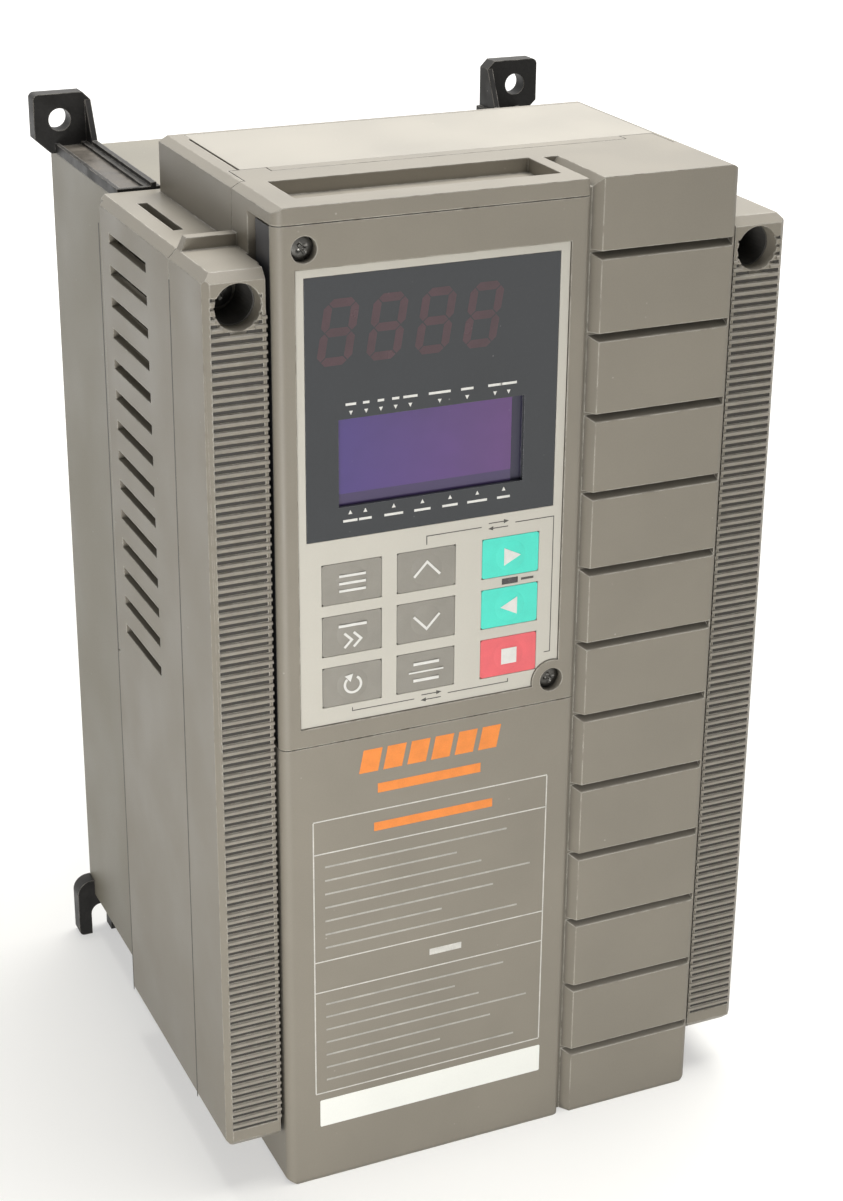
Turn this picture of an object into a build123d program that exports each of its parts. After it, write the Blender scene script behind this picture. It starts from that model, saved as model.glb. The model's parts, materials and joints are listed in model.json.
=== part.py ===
from build123d import *
import os
from math import cos, pi, radians, sin

# A wall-mounted variable frequency drive, in millimetres.
# X runs to the right, Y to the back and Z up.  The drive stands on Z = 0 and its
# mounting plane is its back.  "Depth" is measured back from the front face.

# ---- overall
WIDTH = 150.0
HEIGHT = 260.0
DEPTH = 145.0

# ---- how far a cutting tool reaches past what it cuts
OVER = 1.0

# ---- central column, which runs from the bottom to the top of the drive
WING_WIDTH = 15.5
COLUMN_CORNER_R = 2.4
COLUMN_BEVEL_X = 2.3
COLUMN_BEVEL_Z = 1.3

# ---- shoulders, the wider body that stops short of the top and the bottom
SHOULDER_DROP = 14.0
SHOULDER_BEVEL_X = 2.0
SHOULDER_BEVEL_Z = 2.2

# ---- front cover
COVER_DEPTH = 27.0
SEAM_GAP = 0.3
COVER_WALL = 2.2
WING_SETBACK = 2.8
WING_CHAMFER = 1.5
WING_END_SLOPE = 2.0
PANEL_GAP = 1.0
PANEL_GAP_DEPTH = 8.0
RIDGE_THICKNESS = 3.0
RIDGE_HEIGHT = 3.0
RIDGE_SLOPE = 1.5
BOSS_HEIGHT = 18.0

# ---- ribs across the wings
RIB_COUNT = 110
RIB_END = 19.9
RIB_GROOVE = 1.0
RIB_DEPTH = 0.7
RIB_MARGIN = 0.8

# ---- valley between the keypad side and the louvred side of the column
KEYPAD_SIDE_WIDTH = 79.0
KEYPAD_SIDE_R = 2.0
VALLEY_DEPTH = 2.6
VALLEY_FLOOR = 1.2
VALLEY_SLOPE = 1.9
VALLEY_LENGTH = 24.0
DIVIDER_WALL = 2.2

# ---- louvres
LOUVRE_COUNT = 12
LOUVRE_TOP_DROP = 18.0
LOUVRE_BOTTOM = 19.8
LOUVRE_WALL = 5.0
NOTCH_ABOVE = 0.4
NOTCH_BELOW = 1.8
SLOT_HEIGHT = 0.8
LOUVRE_END = 1.3
LOUVRE_SLOT_INSET = 1.0

# ---- finger scoop in the top of the cover
SCOOP_LEFT_INSET = 8.0
SCOOP_RIGHT_INSET = 4.5
SCOOP_FRONT = 7.5
SCOOP_BACK = 24.8
SCOOP_DEPTH = 3.6
SCOOP_FLOOR_WALL = 2.4
SCOOP_BEND_BACK = 0.4
SCOOP_BEND_RISE = 0.28

# ---- tongue that hooks the cover into the top of the casing
TONGUE_INSET = 3.5
TONGUE_REACH = 7.5
TONGUE_THICKNESS = 2.0
TONGUE_EAR_REACH = 11.0
TONGUE_EAR_WIDTH = 9.0
TONGUE_CLEARANCE = 0.3

# ---- cover screws
COVER_SCREW_INSET = 8.0
COVER_SCREW_DROP = 22.0
COVER_BORE_R = 5.5
COVER_BORE_DEPTH = 20.0
COVER_SCREW_R = 2.0
COVER_SCREW_HEAD_R = 3.9
COVER_SCREW_HEAD = 2.8
COVER_SCREW_LENGTH = 16.0
SCREW_CLEARANCE = 0.05
SCREW_PASS = 0.3

# ---- middle casing
CASING_BACK = 83.0
BLOCK_BACK = 80.0
CASING_WALL = 2.2
BLOCK_TOP_WALL = 4.2
REAR_WINDOW_SIDE = 13.0
REAR_WINDOW_MARGIN = 24.0
LIP_STEP_DROP = 138.0
LIP_STEP_DEPTH = 2.0
LIP_STEP_IN = 1.0
CASING_BOSS = 13.6
CASING_BOSS_DEPTH = 14.0

# ---- side vents
VENT_COUNT = 14
VENT_PITCH = 8.08
VENT_HEIGHT = 2.6
VENT_TOP_DROP = 21.6
VENT_FRONT = 44.6
VENT_BACK = 74.2
SHOULDER_SLOT_WIDTH = 2.5
SHOULDER_SLOT_INSET = 7.7
SHOULDER_SLOT_FRONT = 42.5
SHOULDER_SLOT_BACK = 70.5

# ---- top plate
TOP_PLATE_LEFT_INSET = 6.2
TOP_PLATE_RIGHT_INSET = 2.9
TOP_PLATE_FRONT = 38.2
TOP_PLATE_BACK = 78.5
TOP_PLATE_THICKNESS = 1.5
TOP_PLATE_CLEARANCE = 0.1
TOP_SLIT = 0.7
TOP_SLIT_BACK = 73.4
TOP_VENT_COUNT = 7
TOP_VENT_BAR = 6.0
TOP_VENT_MARGIN = 4.0

# ---- cable entry plate and grommets
GLAND_SIDE = 6.5
GLAND_FRONT = 31.0
GLAND_BACK = 77.0
GLAND_THICKNESS = 2.0
GLAND_RECESS = 1.0
GLAND_LEDGE = 3.0
GLAND_CLEARANCE = 0.15
ENTRY_COUNT = 3
ENTRY_PITCH = 32.0
ENTRY_DEPTH = 54.0
ENTRY_HOLE_R = 10.0
GROMMET_BORE_R = 6.0
GROMMET_FLANGE_R = 12.5
GROMMET_TOP_FLANGE = 0.8
GROMMET_LOW_FLANGE = 0.7
GROMMET_CLEARANCE = 0.1

# ---- rear housing
HOUSING_SETBACK = 5.5
HOUSING_BOTTOM = 13.5
HOUSING_TOP_DROP = 16.0
HOUSING_WALL = 3.0
HOUSING_WINDOW_SIDE = 9.5
HOUSING_WINDOW_MARGIN = 12.5

# ---- heat sink
SINK_BASE = 6.0
SINK_SIDE_CLEARANCE = 0.2
SINK_END_MARGIN = 4.0
SINK_PAD_HEIGHT = 4.0
SINK_PAD_CLEARANCE = 0.3
FIN_COUNT = 15
FIN_SIDE = 4.1
FIN_THICKNESS = 2.0
FIN_TOP_GAP = 5.6
FIN_BACK_GAP = 0.3

# ---- upper mounting brackets
BRACKET_BAR = 2.6
BRACKET_WIDTH = 11.3
BRACKET_FRONT = 84.0
EAR_THICKNESS = 5.0
EAR_WIDTH = 15.8
EAR_CHAMFER = 2.2
EAR_LOW_CHAMFER_X = 4.3
EAR_LOW_CHAMFER_Z = 4.0
EAR_CORNER_R = 1.5
MOUNT_INSET_X = 7.0
MOUNT_INSET_Z = 7.0
MOUNT_HOLE_R = 3.0
TRAY_RIM = 1.1
TRAY_WIDTH = 6.2
TRAY_RECESS = 0.8
INNER_RAIL = 1.5
INNER_RAIL_HEIGHT = 1.0
GUSSET_THICKNESS = 1.6
GUSSET_REACH = 5.6
GUSSET_TOP_DROP = 2.2
LEG_THICKNESS = 2.0
LEG_LENGTH = 12.0
LEG_FRONT = 96.0
LEG_BACK = 136.0
LEG_CLEARANCE = 0.1

# ---- lower mounting brackets
HOOK_TOP = 18.5
HOOK_CORNER_R = 4.5
HOOK_TIP_R = 1.6
FOOT_BAR = 2.8

# ---- fan and fan cover
FAN_FRONT_GAP = 1.0
FAN_HEIGHT = 20.0
FAN_CORNER_R = 3.5
FAN_WALL = 1.4
FAN_HOLE_INSET = 4.0
FAN_HOLE_R = 1.8
FAN_HUB_R = 11.5
FAN_HUB_WALL = 1.5
FAN_BLADE_COUNT = 7
FAN_BLADE_THICKNESS = 1.2
FAN_BLADE_CHORD = 15.0
FAN_BLADE_TIP_GAP = 0.8
FAN_BLADE_PITCH_ROOT = 52.0
FAN_BLADE_PITCH_TIP = 34.0
FAN_STRUT = 3.0
FAN_PLATE = 2.5
FAN_TUBE_R = 4.4
FAN_TUBE_TOP = 13.0
FAN_SHAFT_R = 1.5
FAN_BEARING_R = 3.1
FAN_BEARING_HEIGHT = 3.0
FAN_COIL_R = 8.6
FAN_COIL_HEIGHT = 8.0
FAN_RUN_GAP = 0.7
FIT = 0.03
FAN_BACK_GAP = 2.0
FAN_COVER_PLATE = 2.4
FAN_COVER_RAISE = 4.0
FAN_COVER_SIDE = 0.8
FAN_COVER_SIDE_GAP = 0.2
FAN_COVER_RIM = 1.4
GRILLE_RING_COUNT = 4
GRILLE_RING_WIDTH = 1.4
GRILLE_SPOKE_WIDTH = 2.0
GRILLE_SPOKES = 6
GRILLE_HUB_R = 7.0
GRILLE_THICKNESS = 1.8
FAN_SCREW_R = 1.7
FAN_SCREW_HEAD_R = 3.2
FAN_SCREW_HEAD = 1.6
FAN_SCREW_LENGTH = 12.0

# ---- keypad
KEYPAD_DROP = 4.0
KEYPAD_HEIGHT = 129.0
KEYPAD_GAP = 0.2
KEYPAD_THICKNESS = 14.1
BEZEL_THICKNESS = 2.6
BACK_INSET = 1.0
BACK_WALL = 1.6
POCKET_DEPTH = 16.5
POCKET_FLOOR = 2.2
LABEL_SIDE = 5.0
LABEL_BOTTOM_MARGIN = 5.0
LABEL_TOP_DROP = 10.4
LABEL_RECESS = 0.9
LABEL_THICKNESS = 0.45
LABEL_GAP = 0.15
LABEL_NOTCH_R = 5.4
WINDOW_LEFT_INSET = 7.1
WINDOW_RIGHT_INSET = 7.5
WINDOW_TOP_DROP = 12.4
WINDOW_KEY_GAP = 6.15
WINDOW_THICKNESS = 1.0
WINDOW_GAP = 0.1
WINDOW_LEDGE = 1.4
LED_LEFT_INSET = 2.0
LED_RIGHT_INSET = 12.1
LED_TOP_DROP = 4.4
LED_HEIGHT = 18.6
LCD_LEFT_INSET = 6.0
LCD_RIGHT_INSET = 6.3
LCD_LED_GAP = 8.2
LCD_BOTTOM_MARGIN = 4.7
LCD_RIM = 2.0
DISPLAY_GAP = 0.3

# ---- keys, on a grid of three columns and three rows
KEY_LEFT_INSET = 18.5
KEY_RIGHT_INSET = 18.8
KEY_SPACING = (19.3, 22.4)
KEY_BOTTOM_MARGIN = 14.9
KEY_ROW_PITCH = 13.35
KEY_WIDTH = 15.2
KEY_HEIGHT = 10.3
KEY_CORNER_R = 0.7
KEY_THICKNESS = 0.5
KEY_GAP = 0.12
KEY_TRAVEL = 0.35
KEY_POCKET_SPARE = 0.15
DOME_R = 4.0
DOME_HEIGHT = 0.4
STEM_WIDTH = 3.6
STEM_PASS = 0.3
STEM_FLANGE_WIDTH = 6.0
STEM_FLANGE = 0.6
STEM_FLANGE_GAP = 0.15
STEM_LENGTH = 3.25
SWITCH_GAP = 0.1
SWITCH_SIZE = 6.0
SWITCH_PLUNGER_WIDTH = 3.0
SWITCH_PLUNGER = 0.4
LAMP_WIDTH = 4.2
LAMP_HEIGHT = 1.4
LAMP_GAP = 0.1

# ---- keypad board, connector and screws
KEYPAD_BOARD_DEPTH = 7.4
BOARD_THICKNESS = 1.6
KEYPAD_BOARD_INSET = 2.0
KEYPAD_POST_WIDTH = 4.0
HIGH_SCREW_INSETS = (7.2, 5.8)
LOW_SCREW_INSETS = (6.8, 6.1)
KEYPAD_SCREW_BORE_R = 3.1
KEYPAD_SCREW_SEAT = 4.2
KEYPAD_SCREW_TUBE_R = 4.0
KEYPAD_SCREW_R = 1.5
KEYPAD_SCREW_HEAD_R = 2.8
KEYPAD_SCREW_HEAD = 2.2
KEYPAD_SCREW_LENGTH = 14.0
PLUG_INSET = 32.5
PLUG_WIDTH = 15.0
PLUG_TOP_DROP = 60.0
PLUG_HEIGHT = 10.0
PLUG_REACH = 22.0
PLUG_CLEARANCE = 0.6
SOCKET_GAP = 0.3
SOCKET_MARGIN = 1.0

# ---- boards inside the casing
CONTROL_BOARD_SIDE = 7.5
CONTROL_BOARD_BOTTOM = 40.0
CONTROL_BOARD_TOP_DROP = 55.0
CONTROL_BOARD_DEPTH = 31.0
POWER_BOARD_SIDE = 3.5
POWER_BOARD_BOTTOM = 30.0
POWER_BOARD_TOP_DROP = 30.0
POWER_BOARD_DEPTH = 66.4
STANDOFF_R = 3.0
STANDOFF_INSET = 6.0

# ---- power parts
IGBT_HALF_WIDTH = 30.0
IGBT_BOTTOM = 80.0
IGBT_TOP = 128.0
RECTIFIER_HALF_WIDTH = 24.0
RECTIFIER_BOTTOM = 146.0
RECTIFIER_TOP = 182.0
MODULE_EAR = 8.0
MODULE_EAR_THICKNESS = 4.0
CAPACITOR_R = 15.0
CAPACITOR_LENGTH = 29.0
CAPACITOR_PITCH = 34.0
CAPACITOR_COUNT = 3
CAPACITOR_DROP = 49.0
CAPACITOR_LIP = 0.8
TRANSFORMER_SIDE = 20.0
TRANSFORMER_SIZE = (26.0, 30.0, 22.0)
RELAY_SIDE = 18.0
RELAY_SIZE = (20.0, 27.0, 18.0)
TALL_PART_DROP = 53.0
SENSOR_X = 20.0
SENSOR_Z = 66.0
SENSOR_R = 9.0
SENSOR_BORE_R = 4.0
SENSOR_THICKNESS = 9.0

# ---- terminal blocks
MAIN_BLOCK_SIDE = 10.0
MAIN_BLOCK_BOTTOM = 32.0
MAIN_BLOCK_TOP = 50.0
MAIN_BLOCK_FRONT = 50.0
MAIN_TERMINALS = 9
BARRIER = 1.2
BARRIER_HEIGHT = 6.0
CONTROL_BLOCK_LEFT_INSET = 10.0
CONTROL_BLOCK_RIGHT_INSET = 4.5
CONTROL_BLOCK_BOTTOM = 44.0
CONTROL_BLOCK_TOP = 56.0
CONTROL_BLOCK_FRONT = 21.0
CONTROL_TERMINALS = 13
CONTROL_TERMINAL_WIDTH = 3.4
CONTROL_TERMINAL_DEPTH = 1.5
LINK_INSET = 1.0
LINK_SENSOR_GAP = 3.5
LINK_BOTTOM = 66.0
LINK_TOP = 71.0
# X from the middle of the board, height above its lower edge, width, height and thickness
CHIPS = ((-18.0, 80.0, 24.0, 24.0, 2.6), (22.0, 88.0, 14.0, 18.0, 2.4), (22.0, 56.0, 18.0, 10.0, 3.2),
         (-30.0, 50.0, 12.0, 8.0, 4.0), (38.0, 116.0, 10.0, 10.0, 8.0), (4.0, 48.0, 8.0, 8.0, 9.0))

# ---- levels worked out from the sizes above
COVER_BACK = COVER_DEPTH - SEAM_GAP / 2
CASING_FRONT = COVER_DEPTH + SEAM_GAP / 2
SIDE_X = WIDTH / 2
COLUMN_X = SIDE_X - WING_WIDTH
WING_X = COLUMN_X + PANEL_GAP
SHOULDER_LOW = SHOULDER_DROP
SHOULDER_HIGH = HEIGHT - SHOULDER_DROP
RIB_PITCH = (HEIGHT - 2 * RIB_END) / (RIB_COUNT - 1)
KEYPAD_SIDE_RIGHT = -COLUMN_X + KEYPAD_SIDE_WIDTH
VALLEY_RIGHT = KEYPAD_SIDE_RIGHT + VALLEY_FLOOR
LOUVRE_LEFT = VALLEY_RIGHT + VALLEY_SLOPE
LOUVRE_PITCH = (HEIGHT - LOUVRE_TOP_DROP - LOUVRE_BOTTOM) / (LOUVRE_COUNT - 1)
SCOOP_LEFT = -COLUMN_X + SCOOP_LEFT_INSET
SCOOP_RIGHT = KEYPAD_SIDE_RIGHT - SCOOP_RIGHT_INSET
TONGUE_HALF_WIDTH = COLUMN_X - TONGUE_INSET
COVER_SCREW_X = SIDE_X - COVER_SCREW_INSET
COVER_SCREW_Z = HEIGHT - COVER_SCREW_DROP
REAR_WINDOW_HALF_WIDTH = SIDE_X - REAR_WINDOW_SIDE
SHOULDER_SLOT_X = SIDE_X - SHOULDER_SLOT_INSET
TOP_PLATE_LEFT = -COLUMN_X + TOP_PLATE_LEFT_INSET
TOP_PLATE_RIGHT = COLUMN_X - TOP_PLATE_RIGHT_INSET
GLAND_HALF_WIDTH = COLUMN_X - GLAND_SIDE
HOUSING_X = SIDE_X - HOUSING_SETBACK
HOUSING_INNER_X = HOUSING_X - HOUSING_WALL
HOUSING_TOP = HEIGHT - HOUSING_TOP_DROP
HOUSING_FLOOR = CASING_BACK + HOUSING_WALL
HOUSING_WINDOW_HALF_WIDTH = HOUSING_X - HOUSING_WINDOW_SIDE
SINK_PAD_FRONT = HOUSING_FLOOR - SINK_PAD_HEIGHT
FIN_ROOT = HOUSING_FLOOR + SINK_BASE
EAR_INNER_X = SIDE_X - EAR_WIDTH
EAR_FRONT = DEPTH - EAR_THICKNESS
BRACKET_INNER_X = HOUSING_X - BRACKET_WIDTH
MOUNT_X = SIDE_X - MOUNT_INSET_X
MOUNT_LOW_Z = MOUNT_INSET_Z
MOUNT_HIGH_Z = HEIGHT - MOUNT_INSET_Z
FAN_COVER_LOW = HOUSING_TOP - FAN_COVER_PLATE
FAN_COVER_HALF_WIDTH = BRACKET_INNER_X - FAN_COVER_SIDE
FAN_LOW = FAN_COVER_LOW - FAN_HEIGHT
FAN_SIZE = DEPTH - FAN_BACK_GAP - FIN_ROOT - FAN_FRONT_GAP
FAN_DEPTH = DEPTH - FAN_BACK_GAP - FAN_SIZE / 2
FAN_BORE_R = FAN_SIZE / 2 - FAN_WALL
FAN_HOLE_PITCH = FAN_SIZE - 2 * FAN_HOLE_INSET
FIN_TOP = FAN_LOW - FIN_TOP_GAP
FIN_PITCH = 2 * (HOUSING_INNER_X - FIN_SIDE - FIN_THICKNESS / 2) / (FIN_COUNT - 1)
KEYPAD_TOP = HEIGHT - KEYPAD_DROP
KEYPAD_BOTTOM = KEYPAD_TOP - KEYPAD_HEIGHT
CASE_TOP = KEYPAD_TOP - KEYPAD_GAP
CASE_BOTTOM = KEYPAD_BOTTOM + KEYPAD_GAP
LABEL_LEFT = -COLUMN_X + LABEL_SIDE
LABEL_RIGHT = KEYPAD_SIDE_RIGHT - LABEL_SIDE
LABEL_TOP = KEYPAD_TOP - LABEL_TOP_DROP
LABEL_BOTTOM = KEYPAD_BOTTOM + LABEL_BOTTOM_MARGIN
LABEL_FRONT = LABEL_RECESS - LABEL_THICKNESS
WINDOW_LEFT = -COLUMN_X + WINDOW_LEFT_INSET
WINDOW_RIGHT = KEYPAD_SIDE_RIGHT - WINDOW_RIGHT_INSET
KEY_LEFT = -COLUMN_X + KEY_LEFT_INSET
KEY_RIGHT = KEYPAD_SIDE_RIGHT - KEY_RIGHT_INSET
KEY_MIDDLE = KEY_LEFT + (KEY_RIGHT - KEY_LEFT) * KEY_SPACING[0] / sum(KEY_SPACING)
KEY_COLUMNS = (KEY_LEFT, KEY_MIDDLE, KEY_RIGHT)
KEY_ROWS = [KEYPAD_BOTTOM + KEY_BOTTOM_MARGIN + row * KEY_ROW_PITCH for row in (2, 1, 0)]
WINDOW_TOP = KEYPAD_TOP - WINDOW_TOP_DROP
WINDOW_BOTTOM = KEY_ROWS[0] + KEY_HEIGHT / 2 + WINDOW_KEY_GAP
WINDOW_BACK = LABEL_FRONT + WINDOW_THICKNESS
LED_LEFT = WINDOW_LEFT + LED_LEFT_INSET
LED_RIGHT = WINDOW_RIGHT - LED_RIGHT_INSET
LED_TOP = WINDOW_TOP - LED_TOP_DROP
LED_BOTTOM = LED_TOP - LED_HEIGHT
LCD_LEFT = WINDOW_LEFT + LCD_LEFT_INSET
LCD_RIGHT = WINDOW_RIGHT - LCD_RIGHT_INSET
LCD_TOP = LED_BOTTOM - LCD_LED_GAP
LCD_BOTTOM = WINDOW_BOTTOM + LCD_BOTTOM_MARGIN
KEY_BACK = LABEL_FRONT + KEY_THICKNESS
KEY_POCKET = KEY_BACK + KEY_TRAVEL + KEY_POCKET_SPARE
STEM_END = KEY_BACK + STEM_LENGTH
SWITCH_FRONT = STEM_END + KEY_TRAVEL + SWITCH_GAP
KEYPAD_SCREWS = ((-COLUMN_X + HIGH_SCREW_INSETS[0], KEYPAD_TOP - HIGH_SCREW_INSETS[1]),
                 (KEYPAD_SIDE_RIGHT - LOW_SCREW_INSETS[0], KEYPAD_BOTTOM + LOW_SCREW_INSETS[1]))
PLUG_LEFT = -COLUMN_X + PLUG_INSET
PLUG_RIGHT = PLUG_LEFT + PLUG_WIDTH
PLUG_TOP = KEYPAD_TOP - PLUG_TOP_DROP
PLUG_BOTTOM = PLUG_TOP - PLUG_HEIGHT
CONTROL_BOARD_HALF_WIDTH = COLUMN_X - CONTROL_BOARD_SIDE
CONTROL_BOARD_TOP = HEIGHT - CONTROL_BOARD_TOP_DROP
CONTROL_BOARD_BACK = CONTROL_BOARD_DEPTH + BOARD_THICKNESS
POWER_BOARD_HALF_WIDTH = COLUMN_X - POWER_BOARD_SIDE
POWER_BOARD_TOP = HEIGHT - POWER_BOARD_TOP_DROP
POWER_BOARD_BACK = POWER_BOARD_DEPTH + BOARD_THICKNESS
TALL_PART_Z = CONTROL_BOARD_TOP - TALL_PART_DROP
CAPACITOR_Z = HEIGHT - CAPACITOR_DROP
MAIN_BLOCK_HALF_WIDTH = COLUMN_X - MAIN_BLOCK_SIDE
CONTROL_BLOCK_LEFT = -CONTROL_BOARD_HALF_WIDTH + CONTROL_BLOCK_LEFT_INSET
CONTROL_BLOCK_RIGHT = KEYPAD_SIDE_RIGHT - CONTROL_BLOCK_RIGHT_INSET
LINK_LEFT = -CONTROL_BOARD_HALF_WIDTH + LINK_INSET
LINK_RIGHT = -SENSOR_X - SENSOR_THICKNESS / 2 - LINK_SENSOR_GAP

KEY_NAMES = (("program_key", "up_key", "forward_key"),
             ("shift_key", "down_key", "reverse_key"),
             ("reset_key", "function_key", "stop_key"))


# ---- drawing helpers
def y_at(depth):
    """Y of the plane that lies this far behind the front face."""
    return depth - DEPTH / 2


def block(x, depth, z):
    """A box between two values each of X, depth and Z."""
    spans = (x, (y_at(depth[0]), y_at(depth[1])), z)
    centre = [(low + high) / 2 for low, high in spans]
    return Pos(*centre) * Box(*[high - low for low, high in spans])


def outline_xz(points, depth):
    """A slab whose outline is drawn in X and Z, between two depths."""
    plane = Plane(origin=(0, y_at(depth[1]), 0), x_dir=(1, 0, 0), z_dir=(0, -1, 0))
    return extrude(plane * make_face(Polyline(*points, close=True)), amount=depth[1] - depth[0])


def outline_yz(points, x):
    """A slab whose outline is drawn in depth and Z, between two values of X."""
    plane = Plane(origin=(x[0], 0, 0), x_dir=(0, 1, 0), z_dir=(1, 0, 0))
    face = make_face(Polyline(*[(y_at(d), z) for d, z in points], close=True))
    return extrude(plane * face, amount=x[1] - x[0])


def outline_xy(points, z, rounds=()):
    """A slab whose outline is drawn in X and depth, with some corners rounded, between two heights."""
    face = make_face(Polyline(*[(x, y_at(d)) for x, d in points], close=True))
    for index, radius in rounds:
        corner = Vector(points[index][0], y_at(points[index][1]), 0)
        face = fillet(face.vertices().sort_by_distance(corner)[0], radius)
    return extrude(Plane.XY.offset(z[0]) * face, amount=z[1] - z[0])


def peg(x, z, radius, depth):
    """A cylinder along Y between two depths."""
    plane = Plane(origin=(x, y_at(depth[1]), z), x_dir=(1, 0, 0), z_dir=(0, -1, 0))
    return extrude(plane * Circle(radius), amount=depth[1] - depth[0])


def hexagon(x, z, radius, depth):
    """A hexagonal pillar along Y between two depths."""
    plane = Plane(origin=(x, y_at(depth[1]), z), x_dir=(1, 0, 0), z_dir=(0, -1, 0))
    return extrude(plane * RegularPolygon(radius, 6), amount=depth[1] - depth[0])


def post(x, depth, radius, z):
    """A cylinder along Z between two heights."""
    return extrude(Pos(x, y_at(depth), z[0]) * Circle(radius), amount=z[1] - z[0])


def rod(depth, z, radius, x):
    """A cylinder along X between two values of X."""
    plane = Plane(origin=(x[0], y_at(depth), z), x_dir=(0, 1, 0), z_dir=(1, 0, 0))
    return extrude(plane * Circle(radius), amount=x[1] - x[0])


def mirrored(shape):
    """The same shape on the other side of the drive."""
    return mirror(shape, about=Plane.YZ)


def both_sides(shape):
    """A shape and its mirror image, as a list of cutting or joining tools."""
    return [shape, mirrored(shape)]


def group(shapes):
    """Separate solids that share one node."""
    return Compound(children=[solid for shape in shapes for solid in shape.solids()])


def front_screw(x, z, head_front, head_height, head_radius, radius, length):
    """A screw driven from the front."""
    seat = head_front + head_height
    return peg(x, z, head_radius, (head_front, seat)) + peg(x, z, radius, (seat, seat + length))


# ---- outer forms that several pieces share
def column_front_view(depth):
    """The column seen from the front, with its top and bottom side edges bevelled."""
    flat_x = COLUMN_X - COLUMN_BEVEL_X
    top = HEIGHT - COLUMN_BEVEL_Z
    points = [(-COLUMN_X, COLUMN_BEVEL_Z), (-flat_x, 0), (flat_x, 0), (COLUMN_X, COLUMN_BEVEL_Z),
              (COLUMN_X, top), (flat_x, HEIGHT), (-flat_x, HEIGHT), (-COLUMN_X, top)]
    return outline_xz(points, depth)


def shoulder_front_view(depth):
    """The wide body seen from the front, with its four corners bevelled."""
    flat_x = SIDE_X - SHOULDER_BEVEL_X
    low, high = SHOULDER_LOW + SHOULDER_BEVEL_Z, SHOULDER_HIGH - SHOULDER_BEVEL_Z
    points = [(-SIDE_X, low), (-flat_x, SHOULDER_LOW), (flat_x, SHOULDER_LOW), (SIDE_X, low),
              (SIDE_X, high), (flat_x, SHOULDER_HIGH), (-flat_x, SHOULDER_HIGH), (-SIDE_X, high)]
    return outline_xz(points, depth)


def column_plan(z, back):
    """The front of the column seen from above: round edges and the valley between its two halves."""
    points = [(-COLUMN_X, back), (-COLUMN_X, 0), (KEYPAD_SIDE_RIGHT, 0), (KEYPAD_SIDE_RIGHT, VALLEY_DEPTH),
              (VALLEY_RIGHT, VALLEY_DEPTH), (LOUVRE_LEFT, 0), (COLUMN_X, 0), (COLUMN_X, back)]
    return outline_xy(points, z, rounds=((1, COLUMN_CORNER_R), (2, KEYPAD_SIDE_R), (6, COLUMN_CORNER_R)))


# ---- front cover
def cover_wings():
    """The wide, low part of the front cover, bevelled at its ends and outer edges."""
    front = WING_SETBACK
    inner_x = SIDE_X - WING_CHAMFER
    plan = [(-SIDE_X, COVER_BACK), (-SIDE_X, front + WING_CHAMFER), (-inner_x, front),
            (inner_x, front), (SIDE_X, front + WING_CHAMFER), (SIDE_X, COVER_BACK)]
    low, high = SHOULDER_LOW, SHOULDER_HIGH
    side = [(COVER_BACK, low), (front + WING_END_SLOPE, low), (front, low + SHOULDER_BEVEL_Z),
            (front, high - SHOULDER_BEVEL_Z), (front + WING_END_SLOPE, high), (COVER_BACK, high)]
    body = shoulder_front_view((0, COVER_BACK)) & outline_xy(plan, (low, high))
    return body & outline_yz(side, (-SIDE_X, SIDE_X))


def cover_ridge():
    """The low ridge that crosses the top of the left wing beside the seam."""
    base = SHOULDER_HIGH - SHOULDER_BEVEL_Z
    outer = SIDE_X - SHOULDER_BEVEL_X
    top = SHOULDER_HIGH + RIDGE_HEIGHT
    points = [(-outer, base), (-outer, SHOULDER_HIGH), (-outer + RIDGE_SLOPE, top),
              (-COLUMN_X, top), (-COLUMN_X, base)]
    return outline_xz(points, (COVER_BACK - RIDGE_THICKNESS, COVER_BACK))


def cover_tongue():
    """The tongue at the top of the cover, longer at its two ends."""
    z = (HEIGHT - TONGUE_THICKNESS, HEIGHT)
    half = TONGUE_HALF_WIDTH
    start = COVER_BACK - COVER_WALL
    middle = block((-half, half), (start, COVER_BACK + TONGUE_REACH), z)
    ear = block((-half, -half + TONGUE_EAR_WIDTH), (start, COVER_BACK + TONGUE_EAR_REACH), z)
    return middle + both_sides(ear)


def cover_hollows():
    """The spaces inside the cover, open at its back."""
    wall = COVER_WALL
    low, high = wall, HEIGHT - wall
    keypad_x = (-COLUMN_X + wall, KEYPAD_SIDE_RIGHT - wall)
    under_keypad = block(keypad_x, (wall, COVER_BACK), (low, KEYPAD_BOTTOM - wall))
    scoop_low = HEIGHT - SCOOP_DEPTH - SCOOP_FLOOR_WALL
    behind_keypad = block(keypad_x, (POCKET_DEPTH + POCKET_FLOOR, COVER_BACK), (low, scoop_low))
    louvres = block((LOUVRE_LEFT + DIVIDER_WALL, COLUMN_X - wall), (LOUVRE_WALL, COVER_BACK), (low, high))
    wing = block((WING_X + wall, SIDE_X - wall), (WING_SETBACK + wall, COVER_BACK),
                 (SHOULDER_LOW + wall, SHOULDER_HIGH - BOSS_HEIGHT))
    return [under_keypad, behind_keypad, louvres] + both_sides(wing)


def rib_grooves():
    """The grooves that leave the ribs of both wings standing."""
    grooves = []
    inner, outer = WING_X + RIB_MARGIN, SIDE_X - WING_CHAMFER
    over = RIB_DEPTH / 2
    proud = WING_SETBACK - over
    half = RIB_GROOVE / 2 * (RIB_DEPTH + over) / RIB_DEPTH
    for index in range(RIB_COUNT):
        z = RIB_END + index * RIB_PITCH
        points = [(proud, z - half), (WING_SETBACK + RIB_DEPTH, z), (proud, z + half)]
        grooves += both_sides(outline_yz(points, (inner, outer)))
    return grooves


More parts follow.
